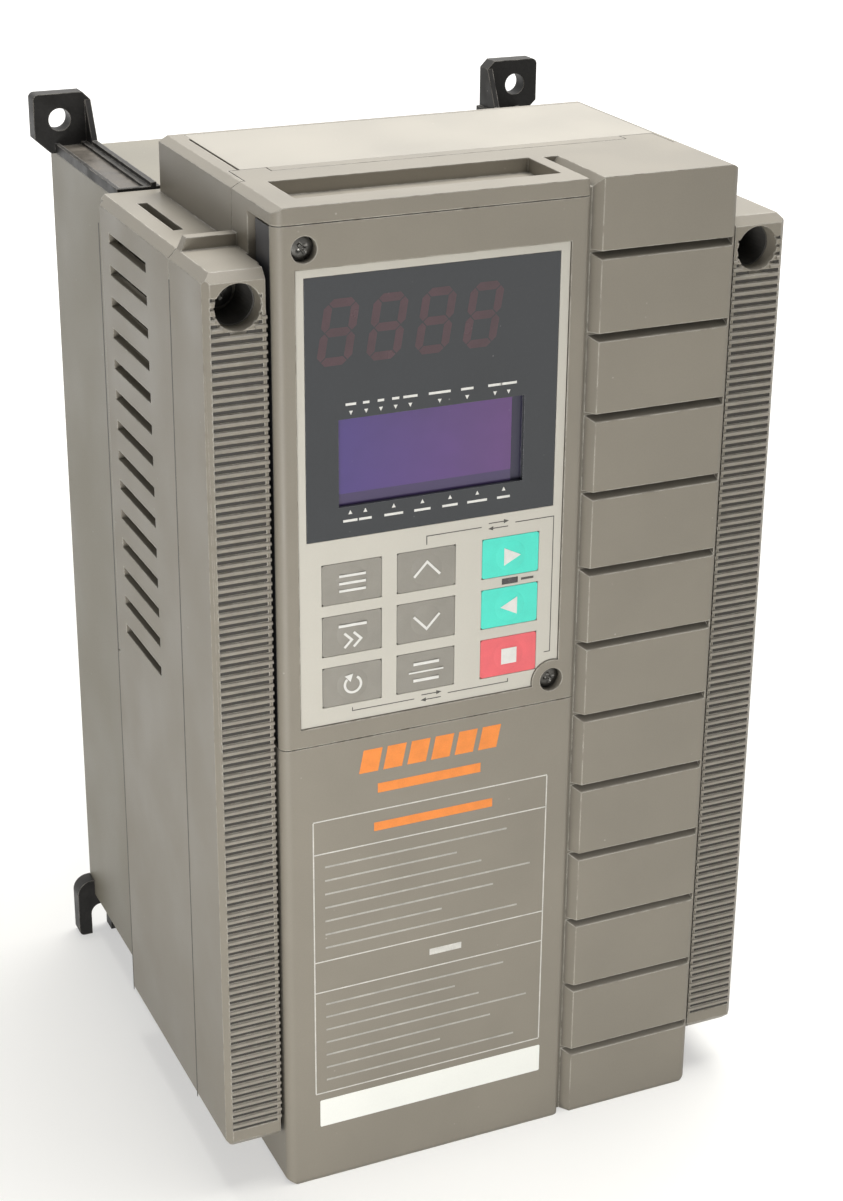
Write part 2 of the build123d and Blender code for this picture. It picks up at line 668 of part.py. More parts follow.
def louvre_notches():
    """The notches between the louvre plates, and the slot through the wall in each."""
    tools = []
    right = COLUMN_X - LOUVRE_END
    for index in range(LOUVRE_COUNT):
        z = HEIGHT - LOUVRE_TOP_DROP - index * LOUVRE_PITCH
        top, low = z + NOTCH_ABOVE, z - NOTCH_BELOW
        slot = (z - SLOT_HEIGHT / 2, z + SLOT_HEIGHT / 2)
        slope = (slot[0] - low) / VALLEY_DEPTH
        points = [(-NOTCH_ABOVE, top), (VALLEY_DEPTH, top), (VALLEY_DEPTH, slot[0]),
                  (-NOTCH_ABOVE, low - slope * NOTCH_ABOVE)]
        tools.append(outline_yz(points, (VALLEY_RIGHT, right)))
        slot_x = (LOUVRE_LEFT + DIVIDER_WALL, COLUMN_X - COVER_WALL - LOUVRE_SLOT_INSET)
        tools.append(block(slot_x, (VALLEY_DEPTH - NOTCH_ABOVE, LOUVRE_WALL + NOTCH_ABOVE), slot))
    return tools


def top_valley():
    """The valley where it runs back over the top of the cover."""
    left = KEYPAD_SIDE_RIGHT
    low = HEIGHT - VALLEY_DEPTH
    edge = KEYPAD_SIDE_R / 2
    points = [(left - edge, HEIGHT), (left, HEIGHT - edge), (left, low),
              (VALLEY_RIGHT, low), (LOUVRE_LEFT, HEIGHT)]
    return outline_xz(points, (0, VALLEY_LENGTH))


def finger_scoop():
    """The scoop in the top of the cover: an upright back wall and a floor that curves up to the front."""
    front, back = y_at(SCOOP_FRONT), y_at(SCOOP_BACK)
    low = HEIGHT - SCOOP_DEPTH
    middle = (front + (back - front) * SCOOP_BEND_BACK, low + SCOOP_DEPTH * SCOOP_BEND_RISE)
    profile = [ThreePointArc((front, HEIGHT), middle, (back, low)),
               Line((back, low), (back, HEIGHT)), Line((back, HEIGHT), (front, HEIGHT))]
    plane = Plane(origin=(SCOOP_LEFT, 0, 0), x_dir=(0, 1, 0), z_dir=(1, 0, 0))
    return extrude(plane * make_face(profile), amount=SCOOP_RIGHT - SCOOP_LEFT)


def cover_screw_bores():
    """The deep bore for each cover screw's head and the hole for its shank."""
    tools = []
    for x in (-COVER_SCREW_X, COVER_SCREW_X):
        tools.append(peg(x, COVER_SCREW_Z, COVER_BORE_R, (0, COVER_BORE_DEPTH)))
        tools.append(peg(x, COVER_SCREW_Z, COVER_SCREW_R + SCREW_PASS, (0, COVER_DEPTH)))
    return tools


def keypad_pocket():
    """The pocket that takes the keypad, open at its left side, with a window for the plug."""
    pocket = block((-COLUMN_X - PANEL_GAP / 2, KEYPAD_SIDE_RIGHT + KEYPAD_GAP), (-OVER, POCKET_DEPTH),
                   (KEYPAD_BOTTOM, KEYPAD_TOP))
    gap = PLUG_CLEARANCE
    window = block((PLUG_LEFT - gap, PLUG_RIGHT + gap), (0, POCKET_DEPTH + POCKET_FLOOR + gap),
                   (PLUG_BOTTOM - gap, PLUG_TOP + gap))
    return [pocket, window]


def front_cover():
    """The front cover: louvred column, ribbed wings, keypad pocket and finger scoop in one moulding."""
    column = column_front_view((0, COVER_BACK)) & column_plan((0, HEIGHT), COVER_BACK)
    cover = cover_wings() + column + both_sides(cover_ridge()) + cover_tongue()
    gap = block((COLUMN_X, WING_X), (0, PANEL_GAP_DEPTH), (0, HEIGHT))
    cover = cover - both_sides(gap) - cover_hollows() - keypad_pocket()
    cover = cover - finger_scoop() - top_valley() - louvre_notches() - cover_screw_bores()
    cover = cover - rib_grooves()
    bosses = []
    for x, z in KEYPAD_SCREWS:
        boss = peg(x, z, KEYPAD_SCREW_TUBE_R, (KEYPAD_THICKNESS + FIT, POCKET_DEPTH + POCKET_FLOOR))
        bosses.append(boss)
    cover = cover + bosses
    for x, z in KEYPAD_SCREWS:
        cover = cover - peg(x, z, KEYPAD_SCREW_R + SCREW_CLEARANCE, (0, COVER_BACK))
    return cover


def cover_screws():
    """The two screws that hold the front cover to the casing."""
    front = COVER_BORE_DEPTH - COVER_SCREW_HEAD
    sizes = (COVER_SCREW_HEAD, COVER_SCREW_HEAD_R, COVER_SCREW_R, COVER_SCREW_LENGTH)
    return group([front_screw(x, COVER_SCREW_Z, front, *sizes) for x in (-COVER_SCREW_X, COVER_SCREW_X)])


# ---- middle casing
def side_vents():
    """The slots through both sides of the casing and through its four shoulders."""
    tools = []
    wall = (SIDE_X - 2 * CASING_WALL, SIDE_X + OVER)
    for index in range(VENT_COUNT):
        top = HEIGHT - VENT_TOP_DROP - index * VENT_PITCH
        tools += both_sides(block(wall, (VENT_FRONT, VENT_BACK), (top - VENT_HEIGHT, top)))
    half = SHOULDER_SLOT_WIDTH / 2
    x = (SHOULDER_SLOT_X - half, SHOULDER_SLOT_X + half)
    depth = (SHOULDER_SLOT_FRONT, SHOULDER_SLOT_BACK)
    tools += both_sides(block(x, depth, (SHOULDER_HIGH - 2 * CASING_WALL, SHOULDER_HIGH + OVER)))
    tools += both_sides(block(x, depth, (SHOULDER_LOW - OVER, SHOULDER_LOW + 2 * CASING_WALL)))
    return tools


def top_recess():
    """The recesses in the top of the casing for the top plate and for the tongue of the cover."""
    gap = TONGUE_CLEARANCE
    low = HEIGHT - TONGUE_THICKNESS - gap
    half = TONGUE_HALF_WIDTH + gap
    end = COVER_BACK + gap
    tongue = block((-half, half), (CASING_FRONT - OVER, end + TONGUE_REACH), (low, HEIGHT + OVER))
    ear = block((-half, -half + TONGUE_EAR_WIDTH + 2 * gap), (CASING_FRONT - OVER, end + TONGUE_EAR_REACH),
                (low, HEIGHT + OVER))
    gap = TOP_PLATE_CLEARANCE
    floor = HEIGHT - TOP_PLATE_THICKNESS
    plate = block((TOP_PLATE_LEFT - gap, TOP_PLATE_RIGHT + gap),
                  (TOP_PLATE_FRONT - gap, TOP_PLATE_BACK + gap), (floor, HEIGHT + OVER))
    slit = block((TOP_PLATE_LEFT - TOP_SLIT, TOP_PLATE_LEFT), (TOP_PLATE_FRONT - gap, TOP_SLIT_BACK),
                 (floor, HEIGHT + OVER))
    return [tongue] + both_sides(ear) + [plate, slit]


def top_vents():
    """The slots under the top plate."""
    tools = []
    left, right = TOP_PLATE_LEFT + TOP_VENT_MARGIN, TOP_PLATE_RIGHT - TOP_VENT_MARGIN
    pitch = (right - left + TOP_VENT_BAR) / TOP_VENT_COUNT
    depth = (TOP_PLATE_FRONT + TOP_VENT_MARGIN, TOP_PLATE_BACK - TOP_VENT_MARGIN)
    for index in range(TOP_VENT_COUNT):
        x = left + index * pitch
        tools.append(block((x, x + pitch - TOP_VENT_BAR), depth, (HEIGHT - 2 * BLOCK_TOP_WALL, HEIGHT)))
    return tools


def gland_opening():
    """The opening in the bottom of the casing, and the rebate in which the cable entry plate sits."""
    gap = GLAND_CLEARANCE
    top = GLAND_RECESS + GLAND_THICKNESS
    x = GLAND_HALF_WIDTH + gap
    rebate = block((-x, x), (GLAND_FRONT - gap, GLAND_BACK + gap), (-OVER, top))
    x = GLAND_HALF_WIDTH - GLAND_LEDGE
    opening = block((-x, x), (GLAND_FRONT + GLAND_LEDGE, GLAND_BACK - GLAND_LEDGE),
                    (-OVER, 2 * BLOCK_TOP_WALL))
    return [rebate, opening]


def casing_bosses():
    """The two bosses, one in each upper corner, that take the cover screws."""
    inner = SIDE_X - CASING_WALL - CASING_BOSS
    boss = block((inner, SIDE_X - CASING_WALL / 2), (CASING_FRONT, CASING_FRONT + CASING_BOSS_DEPTH),
                 (SHOULDER_HIGH - CASING_WALL - CASING_BOSS, SHOULDER_HIGH - CASING_WALL / 2))
    return both_sides(boss)


def mid_casing():
    """The casing between the front cover and the rear housing."""
    wall = CASING_WALL
    shell = shoulder_front_view((CASING_FRONT, CASING_BACK)) + column_front_view((CASING_FRONT, BLOCK_BACK))
    wide = block((-SIDE_X + wall, SIDE_X - wall), (CASING_FRONT - OVER, CASING_BACK - wall),
                 (SHOULDER_LOW + wall, SHOULDER_HIGH - wall))
    tall = block((-COLUMN_X + wall, COLUMN_X - wall), (CASING_FRONT - OVER, BLOCK_BACK - wall),
                 (BLOCK_TOP_WALL, HEIGHT - BLOCK_TOP_WALL))
    half = REAR_WINDOW_HALF_WIDTH
    window = block((-half, half), (BLOCK_BACK - wall - OVER, CASING_BACK + OVER),
                   (REAR_WINDOW_MARGIN, HEIGHT - REAR_WINDOW_MARGIN))
    shell = shell - wide - tall - window + casing_bosses()
    step = block((SIDE_X - LIP_STEP_IN, SIDE_X + OVER), (CASING_BACK - LIP_STEP_DEPTH, CASING_BACK + OVER),
                 (HEIGHT - LIP_STEP_DROP, SHOULDER_HIGH + OVER))
    shell = shell - side_vents() - top_recess() - top_vents() - gland_opening() - both_sides(step)
    for x in (-COVER_SCREW_X, COVER_SCREW_X):
        depth = (CASING_FRONT - OVER, CASING_FRONT + CASING_BOSS_DEPTH - OVER)
        shell = shell - peg(x, COVER_SCREW_Z, COVER_SCREW_R + SCREW_CLEARANCE, depth)
    return shell


def top_plate():
    """The loose plate that closes the vents in the top of the casing."""
    return block((TOP_PLATE_LEFT, TOP_PLATE_RIGHT), (TOP_PLATE_FRONT, TOP_PLATE_BACK),
                 (HEIGHT - TOP_PLATE_THICKNESS, HEIGHT))


def entry_positions():
    """X of each cable entry."""
    return [(index - (ENTRY_COUNT - 1) / 2) * ENTRY_PITCH for index in range(ENTRY_COUNT)]


def gland_plate():
    """The cable entry plate in the bottom of the casing."""
    z = (GLAND_RECESS, GLAND_RECESS + GLAND_THICKNESS)
    plate = block((-GLAND_HALF_WIDTH, GLAND_HALF_WIDTH), (GLAND_FRONT, GLAND_BACK), z)
    return plate - [post(x, ENTRY_DEPTH, ENTRY_HOLE_R, (0, 2 * z[1])) for x in entry_positions()]


def cable_grommets():
    """A rubber grommet in each cable entry, with a flange on both sides of the plate."""
    low = GLAND_RECESS
    top = low + GLAND_THICKNESS
    grommets = []
    for x in entry_positions():
        body = post(x, ENTRY_DEPTH, ENTRY_HOLE_R - GROMMET_CLEARANCE, (low, top))
        body += post(x, ENTRY_DEPTH, GROMMET_FLANGE_R, (top, top + GROMMET_TOP_FLANGE))
        body += post(x, ENTRY_DEPTH, GROMMET_FLANGE_R, (low - GROMMET_LOW_FLANGE, low))
        grommets.append(body - post(x, ENTRY_DEPTH, GROMMET_BORE_R, (0, 2 * top)))
    return group(grommets)


# ---- rear housing, heat sink and brackets
def rear_housing():
    """The rear housing: two side walls and the wall that carries the casing, open at its ends and back."""
    inner = HOUSING_INNER_X
    points = [(-HOUSING_X, CASING_BACK), (HOUSING_X, CASING_BACK), (HOUSING_X, DEPTH), (inner, DEPTH),
              (inner, HOUSING_FLOOR), (-inner, HOUSING_FLOOR), (-inner, DEPTH), (-HOUSING_X, DEPTH)]
    body = outline_xy(points, (HOUSING_BOTTOM, HOUSING_TOP))
    half = HOUSING_WINDOW_HALF_WIDTH
    margin = HOUSING_WINDOW_MARGIN
    window = block((-half, half), (CASING_BACK - OVER, HOUSING_FLOOR + OVER),
                   (HOUSING_BOTTOM + margin, HOUSING_TOP - margin))
    return body - window


def heat_sink():
    """The aluminium heat sink: a base plate with a raised pad, and fins that reach the mounting plane."""
    half = HOUSING_INNER_X - SINK_SIDE_CLEARANCE
    low, high = HOUSING_BOTTOM + SINK_END_MARGIN, HOUSING_TOP - 2 * SINK_END_MARGIN
    base = block((-half, half), (HOUSING_FLOOR, FIN_ROOT), (low, high))
    pad_x = HOUSING_WINDOW_HALF_WIDTH - SINK_PAD_CLEARANCE
    margin = HOUSING_WINDOW_MARGIN + SINK_PAD_CLEARANCE
    pad = block((-pad_x, pad_x), (SINK_PAD_FRONT, HOUSING_FLOOR),
                (HOUSING_BOTTOM + margin, HOUSING_TOP - margin))
    fins = []
    for index in range(FIN_COUNT):
        x = (index - (FIN_COUNT - 1) / 2) * FIN_PITCH
        fins.append(block((x - FIN_THICKNESS / 2, x + FIN_THICKNESS / 2), (FIN_ROOT, DEPTH - FIN_BACK_GAP),
                          (low, FIN_TOP)))
    return base + pad + fins


def bracket_leg(z):
    """The leg of a left bracket, which lies inside the side wall of the housing."""
    outer = -HOUSING_INNER_X + LEG_CLEARANCE
    return block((outer, outer + LEG_THICKNESS), (LEG_FRONT, LEG_BACK), z)


def rounded_slab(points, depth, rounds):
    """A slab drawn in X and Z with some corners rounded."""
    plane = Plane(origin=(0, y_at(depth[1]), 0), x_dir=(1, 0, 0), z_dir=(0, -1, 0))
    face = make_face(Polyline(*points, close=True))
    for index, radius in rounds:
        corner = Vector(*points[index], 0)
        face = fillet(face.vertices().sort_by_distance(corner)[0], radius)
    return extrude(plane * face, amount=depth[1] - depth[0])


def upper_bracket():
    """The upper left bracket: an ear with its hole, a gusset, and a tray that lies on the side wall."""
    low, top = HOUSING_TOP, HOUSING_TOP + BRACKET_BAR
    bar = block((-HOUSING_X, -BRACKET_INNER_X), (BRACKET_FRONT, DEPTH), (low, top))
    tray = block((-HOUSING_X + TRAY_RIM, -HOUSING_X + TRAY_RIM + TRAY_WIDTH),
                 (BRACKET_FRONT + TRAY_RIM, EAR_FRONT), (top - TRAY_RECESS, top + OVER))
    rail = block((-EAR_INNER_X - INNER_RAIL, -EAR_INNER_X), (BRACKET_FRONT, EAR_FRONT),
                 (low, top + INNER_RAIL_HEIGHT))
    ear = rounded_slab([(-SIDE_X, low + EAR_LOW_CHAMFER_Z), (-SIDE_X, HEIGHT),
                        (-EAR_INNER_X - EAR_CHAMFER, HEIGHT), (-EAR_INNER_X, HEIGHT - EAR_CHAMFER),
                        (-EAR_INNER_X, low),
                        (-SIDE_X + EAR_LOW_CHAMFER_X, low)],
                       (EAR_FRONT, DEPTH), ((1, EAR_CORNER_R),))
    gusset_top = HEIGHT - GUSSET_TOP_DROP
    gusset = outline_yz([(EAR_FRONT - GUSSET_REACH, top), (EAR_FRONT, top), (EAR_FRONT, gusset_top)],
                        (-EAR_INNER_X - GUSSET_THICKNESS, -EAR_INNER_X))
    bracket = bar - tray + rail + ear + gusset + bracket_leg((low - LEG_LENGTH, low))
    return bracket - peg(-MOUNT_X, MOUNT_HIGH_Z, MOUNT_HOLE_R, (EAR_FRONT - OVER, DEPTH + OVER))


def lower_bracket():
    """The lower left bracket: a hook that drops over a screw, and a foot bar inside the housing."""
    top = HOUSING_BOTTOM
    step_x = -HOUSING_X - LEG_CLEARANCE
    hook = rounded_slab([(-SIDE_X, 0), (-SIDE_X, HOOK_TOP), (step_x, HOOK_TOP), (step_x, top),
                         (-EAR_INNER_X, top), (-EAR_INNER_X, 0)],
                        (EAR_FRONT, DEPTH), ((0, HOOK_TIP_R), (1, HOOK_CORNER_R)))
    slot = peg(-MOUNT_X, MOUNT_LOW_Z, MOUNT_HOLE_R, (EAR_FRONT - OVER, DEPTH + OVER))
    slot += block((-MOUNT_X - MOUNT_HOLE_R, -MOUNT_X + MOUNT_HOLE_R), (EAR_FRONT - OVER, DEPTH + OVER),
                  (-OVER, MOUNT_LOW_Z))
    bar = block((-HOUSING_INNER_X + LEG_CLEARANCE, -EAR_INNER_X), (LEG_FRONT, EAR_FRONT),
                (top - FOOT_BAR, top))
    return hook - slot + bar + bracket_leg((top - FOOT_BAR / 2, top + LEG_LENGTH))


# ---- fan
def fan_corners():
    """X and depth of the four screw holes of the fan."""
    half = FAN_HOLE_PITCH / 2
    return [(x, FAN_DEPTH + d) for x in (-half, half) for d in (-half, half)]


def fan_cover():
    """The black cover over the fan: a plate in the top of the duct, raised round a grille of rings."""
    half = HOUSING_INNER_X - LEG_CLEARANCE - LEG_THICKNESS - FAN_COVER_SIDE_GAP
    gap = FAN_COVER_SIDE_GAP
    plate = block((-half, half), (HOUSING_FLOOR + gap, DEPTH - gap), (FAN_COVER_LOW, HOUSING_TOP))
    top = HOUSING_TOP + FAN_COVER_RAISE
    wide = FAN_COVER_HALF_WIDTH
    raised = block((-wide, wide), (BRACKET_FRONT, DEPTH - gap), (HOUSING_TOP, top))
    rim = FAN_COVER_RIM
    sunk = block((-wide + rim, wide - rim), (BRACKET_FRONT + rim, DEPTH - gap - rim),
                 (HOUSING_TOP, top + OVER))
    cover = plate + (raised - sunk)
    cover = cover - post(0, FAN_DEPTH, FAN_BORE_R, (FAN_COVER_LOW - OVER, top))
    z = (HOUSING_TOP - GRILLE_THICKNESS, HOUSING_TOP)
    step = (FAN_BORE_R - GRILLE_HUB_R) / GRILLE_RING_COUNT
    grille = post(0, FAN_DEPTH, GRILLE_HUB_R, z)
    for index in range(1, GRILLE_RING_COUNT):
        radius = GRILLE_HUB_R + index * step
        ring = post(0, FAN_DEPTH, radius + GRILLE_RING_WIDTH / 2, z)
        grille += ring - post(0, FAN_DEPTH, radius - GRILLE_RING_WIDTH / 2, (z[0] - OVER, z[1] + OVER))
    reach = FAN_BORE_R + OVER
    for index in range(GRILLE_SPOKES):
        spoke = Pos(reach / 2, 0, 0) * Box(reach, GRILLE_SPOKE_WIDTH, GRILLE_THICKNESS)
        place = Pos(0, y_at(FAN_DEPTH), (z[0] + z[1]) / 2) * Rot(0, 0, index * 360 / GRILLE_SPOKES)
        grille += place * spoke
    holes = [post(x, d, FAN_SCREW_R + SCREW_PASS, (FAN_COVER_LOW - OVER, top)) for x, d in fan_corners()]
    return cover + grille - holes


def fan_frame():
    """The square frame of the fan, with its bore, struts, hub plate and bearing tube."""
    low, top = FAN_LOW, FAN_LOW + FAN_HEIGHT
    body = extrude(Pos(0, y_at(FAN_DEPTH), low) * RectangleRounded(FAN_SIZE, FAN_SIZE, FAN_CORNER_R),
                   amount=FAN_HEIGHT)
    body = body - post(0, FAN_DEPTH, FAN_BORE_R, (low - OVER, top + OVER))
    plate_top = low + FAN_PLATE
    hub = post(0, FAN_DEPTH, FAN_HUB_R, (low, plate_top))
    for angle in (45, 135, 225, 315):
        strut = Pos(FAN_BORE_R / 2 + OVER, 0, 0) * Box(FAN_BORE_R, FAN_STRUT, FAN_PLATE)
        hub += Pos(0, y_at(FAN_DEPTH), low + FAN_PLATE / 2) * Rot(0, 0, angle) * strut
    hub += post(0, FAN_DEPTH, FAN_TUBE_R, (plate_top, low + FAN_TUBE_TOP))
    hub = hub - post(0, FAN_DEPTH, FAN_BEARING_R, (plate_top, low + FAN_TUBE_TOP + OVER))
    holes = [post(x, d, FAN_HOLE_R, (low - OVER, top + OVER)) for x, d in fan_corners()]
    return body + hub - holes


def fan_bearings():
    """The two bearings pressed into the tube of the fan frame."""
    low = FAN_LOW + FAN_PLATE
    high = FAN_LOW + FAN_TUBE_TOP - FAN_BEARING_HEIGHT
    rings = []
    for z in (low, high):
        ring = post(0, FAN_DEPTH, FAN_BEARING_R - FIT, (z, z + FAN_BEARING_HEIGHT))
        rings.append(ring - post(0, FAN_DEPTH, FAN_SHAFT_R + FIT, (z - OVER, z + FAN_BEARING_HEIGHT + OVER)))
    return group(rings)


def fan_coil():
    """The wound stator of the fan motor, on the bearing tube."""
    low = FAN_LOW + FAN_PLATE
    ring = post(0, FAN_DEPTH, FAN_COIL_R, (low, low + FAN_COIL_HEIGHT))
    return ring - post(0, FAN_DEPTH, FAN_TUBE_R + FIT, (low - OVER, low + FAN_COIL_HEIGHT + OVER))


def fan_shaft():
    """The steel shaft that turns with the fan rotor."""
    low = FAN_LOW + FAN_PLATE + FIT
    return post(0, FAN_DEPTH, FAN_SHAFT_R, (low, FAN_LOW + FAN_HEIGHT - 2 * FAN_RUN_GAP))


def fan_blade(height):
    """One blade, twisted from its root to its tip, standing out along X."""
    sections = []
    ends = ((FAN_HUB_R - FAN_HUB_WALL / 2, FAN_BLADE_PITCH_ROOT),
            (FAN_BORE_R + FAN_BLADE_TIP_GAP, FAN_BLADE_PITCH_TIP))
    for radius, pitch in ends:
        plane = Plane(origin=(radius, 0, 0), x_dir=(0, 1, 0), z_dir=(1, 0, 0))
        sections.append(plane * Rot(0, 0, pitch) * Rectangle(FAN_BLADE_CHORD, FAN_BLADE_THICKNESS))
    blade = loft(sections)
    limit = Cylinder(FAN_BORE_R - FAN_BLADE_TIP_GAP, height) - Cylinder(FAN_HUB_R - FAN_HUB_WALL / 2, height)
    return blade & limit


def fan_rotor():
    """The rotor: a cup over the motor with twisted blades round it."""
    low = FAN_LOW + FAN_PLATE + FAN_RUN_GAP
    high = FAN_LOW + FAN_HEIGHT - 2 * FAN_RUN_GAP
    cup = post(0, FAN_DEPTH, FAN_HUB_R, (low, high))
    cup = cup - post(0, FAN_DEPTH, FAN_HUB_R - FAN_HUB_WALL, (low - OVER, high - FAN_HUB_WALL))
    blade = fan_blade(high - low)
    centre = Pos(0, y_at(FAN_DEPTH), (low + high) / 2)
    for index in range(FAN_BLADE_COUNT):
        cup += centre * Rot(0, 0, index * 360 / FAN_BLADE_COUNT) * blade
    return cup - post(0, FAN_DEPTH, FAN_SHAFT_R + FIT / 2, (low, high + OVER))


def fan_screws():
    """The four screws that hold the fan under its cover."""
    screws = []
    for x, depth in fan_corners():
        top = HOUSING_TOP
        head = post(x, depth, FAN_SCREW_HEAD_R, (top, top + FAN_SCREW_HEAD))
        screws.append(head + post(x, depth, FAN_SCREW_R, (top - FAN_SCREW_LENGTH, top)))
    return group(screws)


# ---- keypad
def key_places():
    """Name, X and Z of each key."""
    return [(name, x, z) for names, z in zip(KEY_NAMES, KEY_ROWS) for name, x in zip(names, KEY_COLUMNS)]


def centred_block(x, z, half_width, half_height, depth):
    """A block round a point in X and Z."""
    return block((x - half_width, x + half_width), depth, (z - half_height, z + half_height))


def rounded_block(x, z, width, height, radius, depth):
    """A plate that faces the front, with round corners."""
    plane = Plane(origin=(x, y_at(depth[1]), z), x_dir=(1, 0, 0), z_dir=(0, -1, 0))
    return extrude(plane * RectangleRounded(width, height, radius), amount=depth[1] - depth[0])


def lamp_block(gap, depth):
    """The light pipe of the run lamp, between the forward and reverse keys, with a gap all round."""
    z = (KEY_ROWS[0] + KEY_ROWS[1]) / 2
    return centred_block(KEY_COLUMNS[2], z, LAMP_WIDTH / 2 + gap, LAMP_HEIGHT / 2 + gap, depth)


def label_outline(inset, depth):
    """The area of the label, with the round corner left for the lower keypad screw."""
    area = block((LABEL_LEFT + inset, LABEL_RIGHT - inset), depth, (LABEL_BOTTOM + inset, LABEL_TOP - inset))
    x, z = KEYPAD_SCREWS[1]
    return area - peg(x, z, LABEL_NOTCH_R + inset, (depth[0] - OVER, depth[1] + OVER))


def window_block(inset, depth):
    """The area of the display window."""
    x = (WINDOW_LEFT + inset, WINDOW_RIGHT - inset)
    return block(x, depth, (WINDOW_BOTTOM + inset, WINDOW_TOP - inset))


def keypad_case():
    """The front plate of the keypad, which carries on the face of the column."""
    keep = block((-COLUMN_X - OVER, KEYPAD_SIDE_RIGHT), (-OVER, BEZEL_THICKNESS), (CASE_BOTTOM, CASE_TOP))
    case = column_plan((CASE_BOTTOM, CASE_TOP), POCKET_DEPTH) & keep
    case = case - label_outline(0, (-OVER, LABEL_RECESS))
    case = case - window_block(0, (-OVER, WINDOW_BACK))
    case = case - window_block(WINDOW_LEDGE, (0, BEZEL_THICKNESS + OVER))
    for _, x, z in key_places():
        case = case - centred_block(x, z, KEY_WIDTH / 2 + KEY_GAP, KEY_HEIGHT / 2 + KEY_GAP, (0, KEY_POCKET))
        stem = STEM_WIDTH / 2 + STEM_PASS
        case = case - centred_block(x, z, stem, stem, (0, BEZEL_THICKNESS + OVER))
    case = case - lamp_block(LAMP_GAP, (0, BEZEL_THICKNESS + OVER))
    return case - [peg(x, z, KEYPAD_SCREW_BORE_R, (-OVER, BEZEL_THICKNESS + OVER)) for x, z in KEYPAD_SCREWS]


def keypad_back():
    """The dark tray behind the front plate of the keypad."""
    left, right = -COLUMN_X + BACK_INSET, KEYPAD_SIDE_RIGHT - BACK_INSET
    low, high = CASE_BOTTOM + BACK_INSET, CASE_TOP - BACK_INSET
    wall = BACK_WALL
    tray = block((left, right), (BEZEL_THICKNESS, KEYPAD_THICKNESS), (low, high))
    tray = tray - block((left + wall, right - wall), (BEZEL_THICKNESS - OVER, KEYPAD_THICKNESS - wall),
                        (low + wall, high - wall))
    half = KEYPAD_POST_WIDTH / 2
    posts = [centred_block(x, z, half, half, (KEYPAD_BOARD_DEPTH + BOARD_THICKNESS, KEYPAD_THICKNESS))
             for x, z in keypad_post_places()]
    tubes = [peg(x, z, KEYPAD_SCREW_TUBE_R, (BEZEL_THICKNESS, KEYPAD_THICKNESS)) for x, z in KEYPAD_SCREWS]
    tray = tray + posts + tubes
    for x, z in KEYPAD_SCREWS:
        tray = tray - peg(x, z, KEYPAD_SCREW_BORE_R, (0, KEYPAD_SCREW_SEAT))
        tray = tray - peg(x, z, KEYPAD_SCREW_R + SCREW_PASS, (0, DEPTH))
    gap = PLUG_CLEARANCE
    return tray - block((PLUG_LEFT - gap, PLUG_RIGHT + gap), (KEYPAD_BOARD_DEPTH + BOARD_THICKNESS, DEPTH),
                        (PLUG_BOTTOM - gap, PLUG_TOP + gap))


def keypad_post_places():
    """X and Z of the posts that carry the keypad board."""
    inset = KEYPAD_BOARD_INSET + 2 * KEYPAD_POST_WIDTH
    left, right = -COLUMN_X + BACK_INSET + inset, KEYPAD_SIDE_RIGHT - BACK_INSET - inset
    low, high = CASE_BOTTOM + 3 * inset, CASE_TOP - 3 * inset
    return [(x, z) for x in (left, right) for z in (low, high)]


def keypad_overlay():
    """The label sheet, cut out for the window, the keys and the lamp."""
    depth = (LABEL_FRONT, LABEL_RECESS)
    cut = (0, 2 * LABEL_RECESS)
    sheet = label_outline(LABEL_GAP, depth) - window_block(0, cut) - lamp_block(LAMP_GAP, cut)
    return sheet - [centred_block(x, z, KEY_WIDTH / 2 + KEY_GAP, KEY_HEIGHT / 2 + KEY_GAP, cut)
                    for _, x, z in key_places()]


def display_window():
    """The smoked window in front of the two displays."""
    return window_block(WINDOW_GAP, (LABEL_FRONT, WINDOW_BACK))


def led_display():
    """The four-digit display, on the keypad board."""
    depth = (WINDOW_BACK + DISPLAY_GAP, KEYPAD_BOARD_DEPTH)
    return block((LED_LEFT, LED_RIGHT), depth, (LED_BOTTOM, LED_TOP))


def lcd_module():
    """The liquid crystal display: a framed glass on the keypad board."""
    front = WINDOW_BACK + DISPLAY_GAP
    frame = block((LCD_LEFT, LCD_RIGHT), (front, KEYPAD_BOARD_DEPTH), (LCD_BOTTOM, LCD_TOP))
    rim = LCD_RIM
    glass = block((LCD_LEFT + rim, LCD_RIGHT - rim), (front - OVER, front + DISPLAY_GAP),
                  (LCD_BOTTOM + rim, LCD_TOP - rim))
    return frame - glass


def run_lamp():
    """The light pipe of the run lamp."""
    return lamp_block(0, (LABEL_FRONT, KEYPAD_BOARD_DEPTH))


def keypad_board():
    """The circuit board of the keypad, with clearance round the screw tubes."""
    inset = KEYPAD_BOARD_INSET
    left, right = -COLUMN_X + BACK_INSET + inset, KEYPAD_SIDE_RIGHT - BACK_INSET - inset
    low, high = CASE_BOTTOM + BACK_INSET + inset, CASE_TOP - BACK_INSET - inset
    depth = (KEYPAD_BOARD_DEPTH, KEYPAD_BOARD_DEPTH + BOARD_THICKNESS)
    (high_x, high_z), (low_x, low_z) = KEYPAD_SCREWS
    clear = KEYPAD_SCREW_TUBE_R + SCREW_PASS
    corners = [block((-COLUMN_X, high_x + clear), depth, (high_z - clear, KEYPAD_TOP)),
               block((low_x - clear, KEYPAD_SIDE_RIGHT), depth, (KEYPAD_BOTTOM, low_z + clear))]
    return block((left, right), depth, (low, high)) - corners


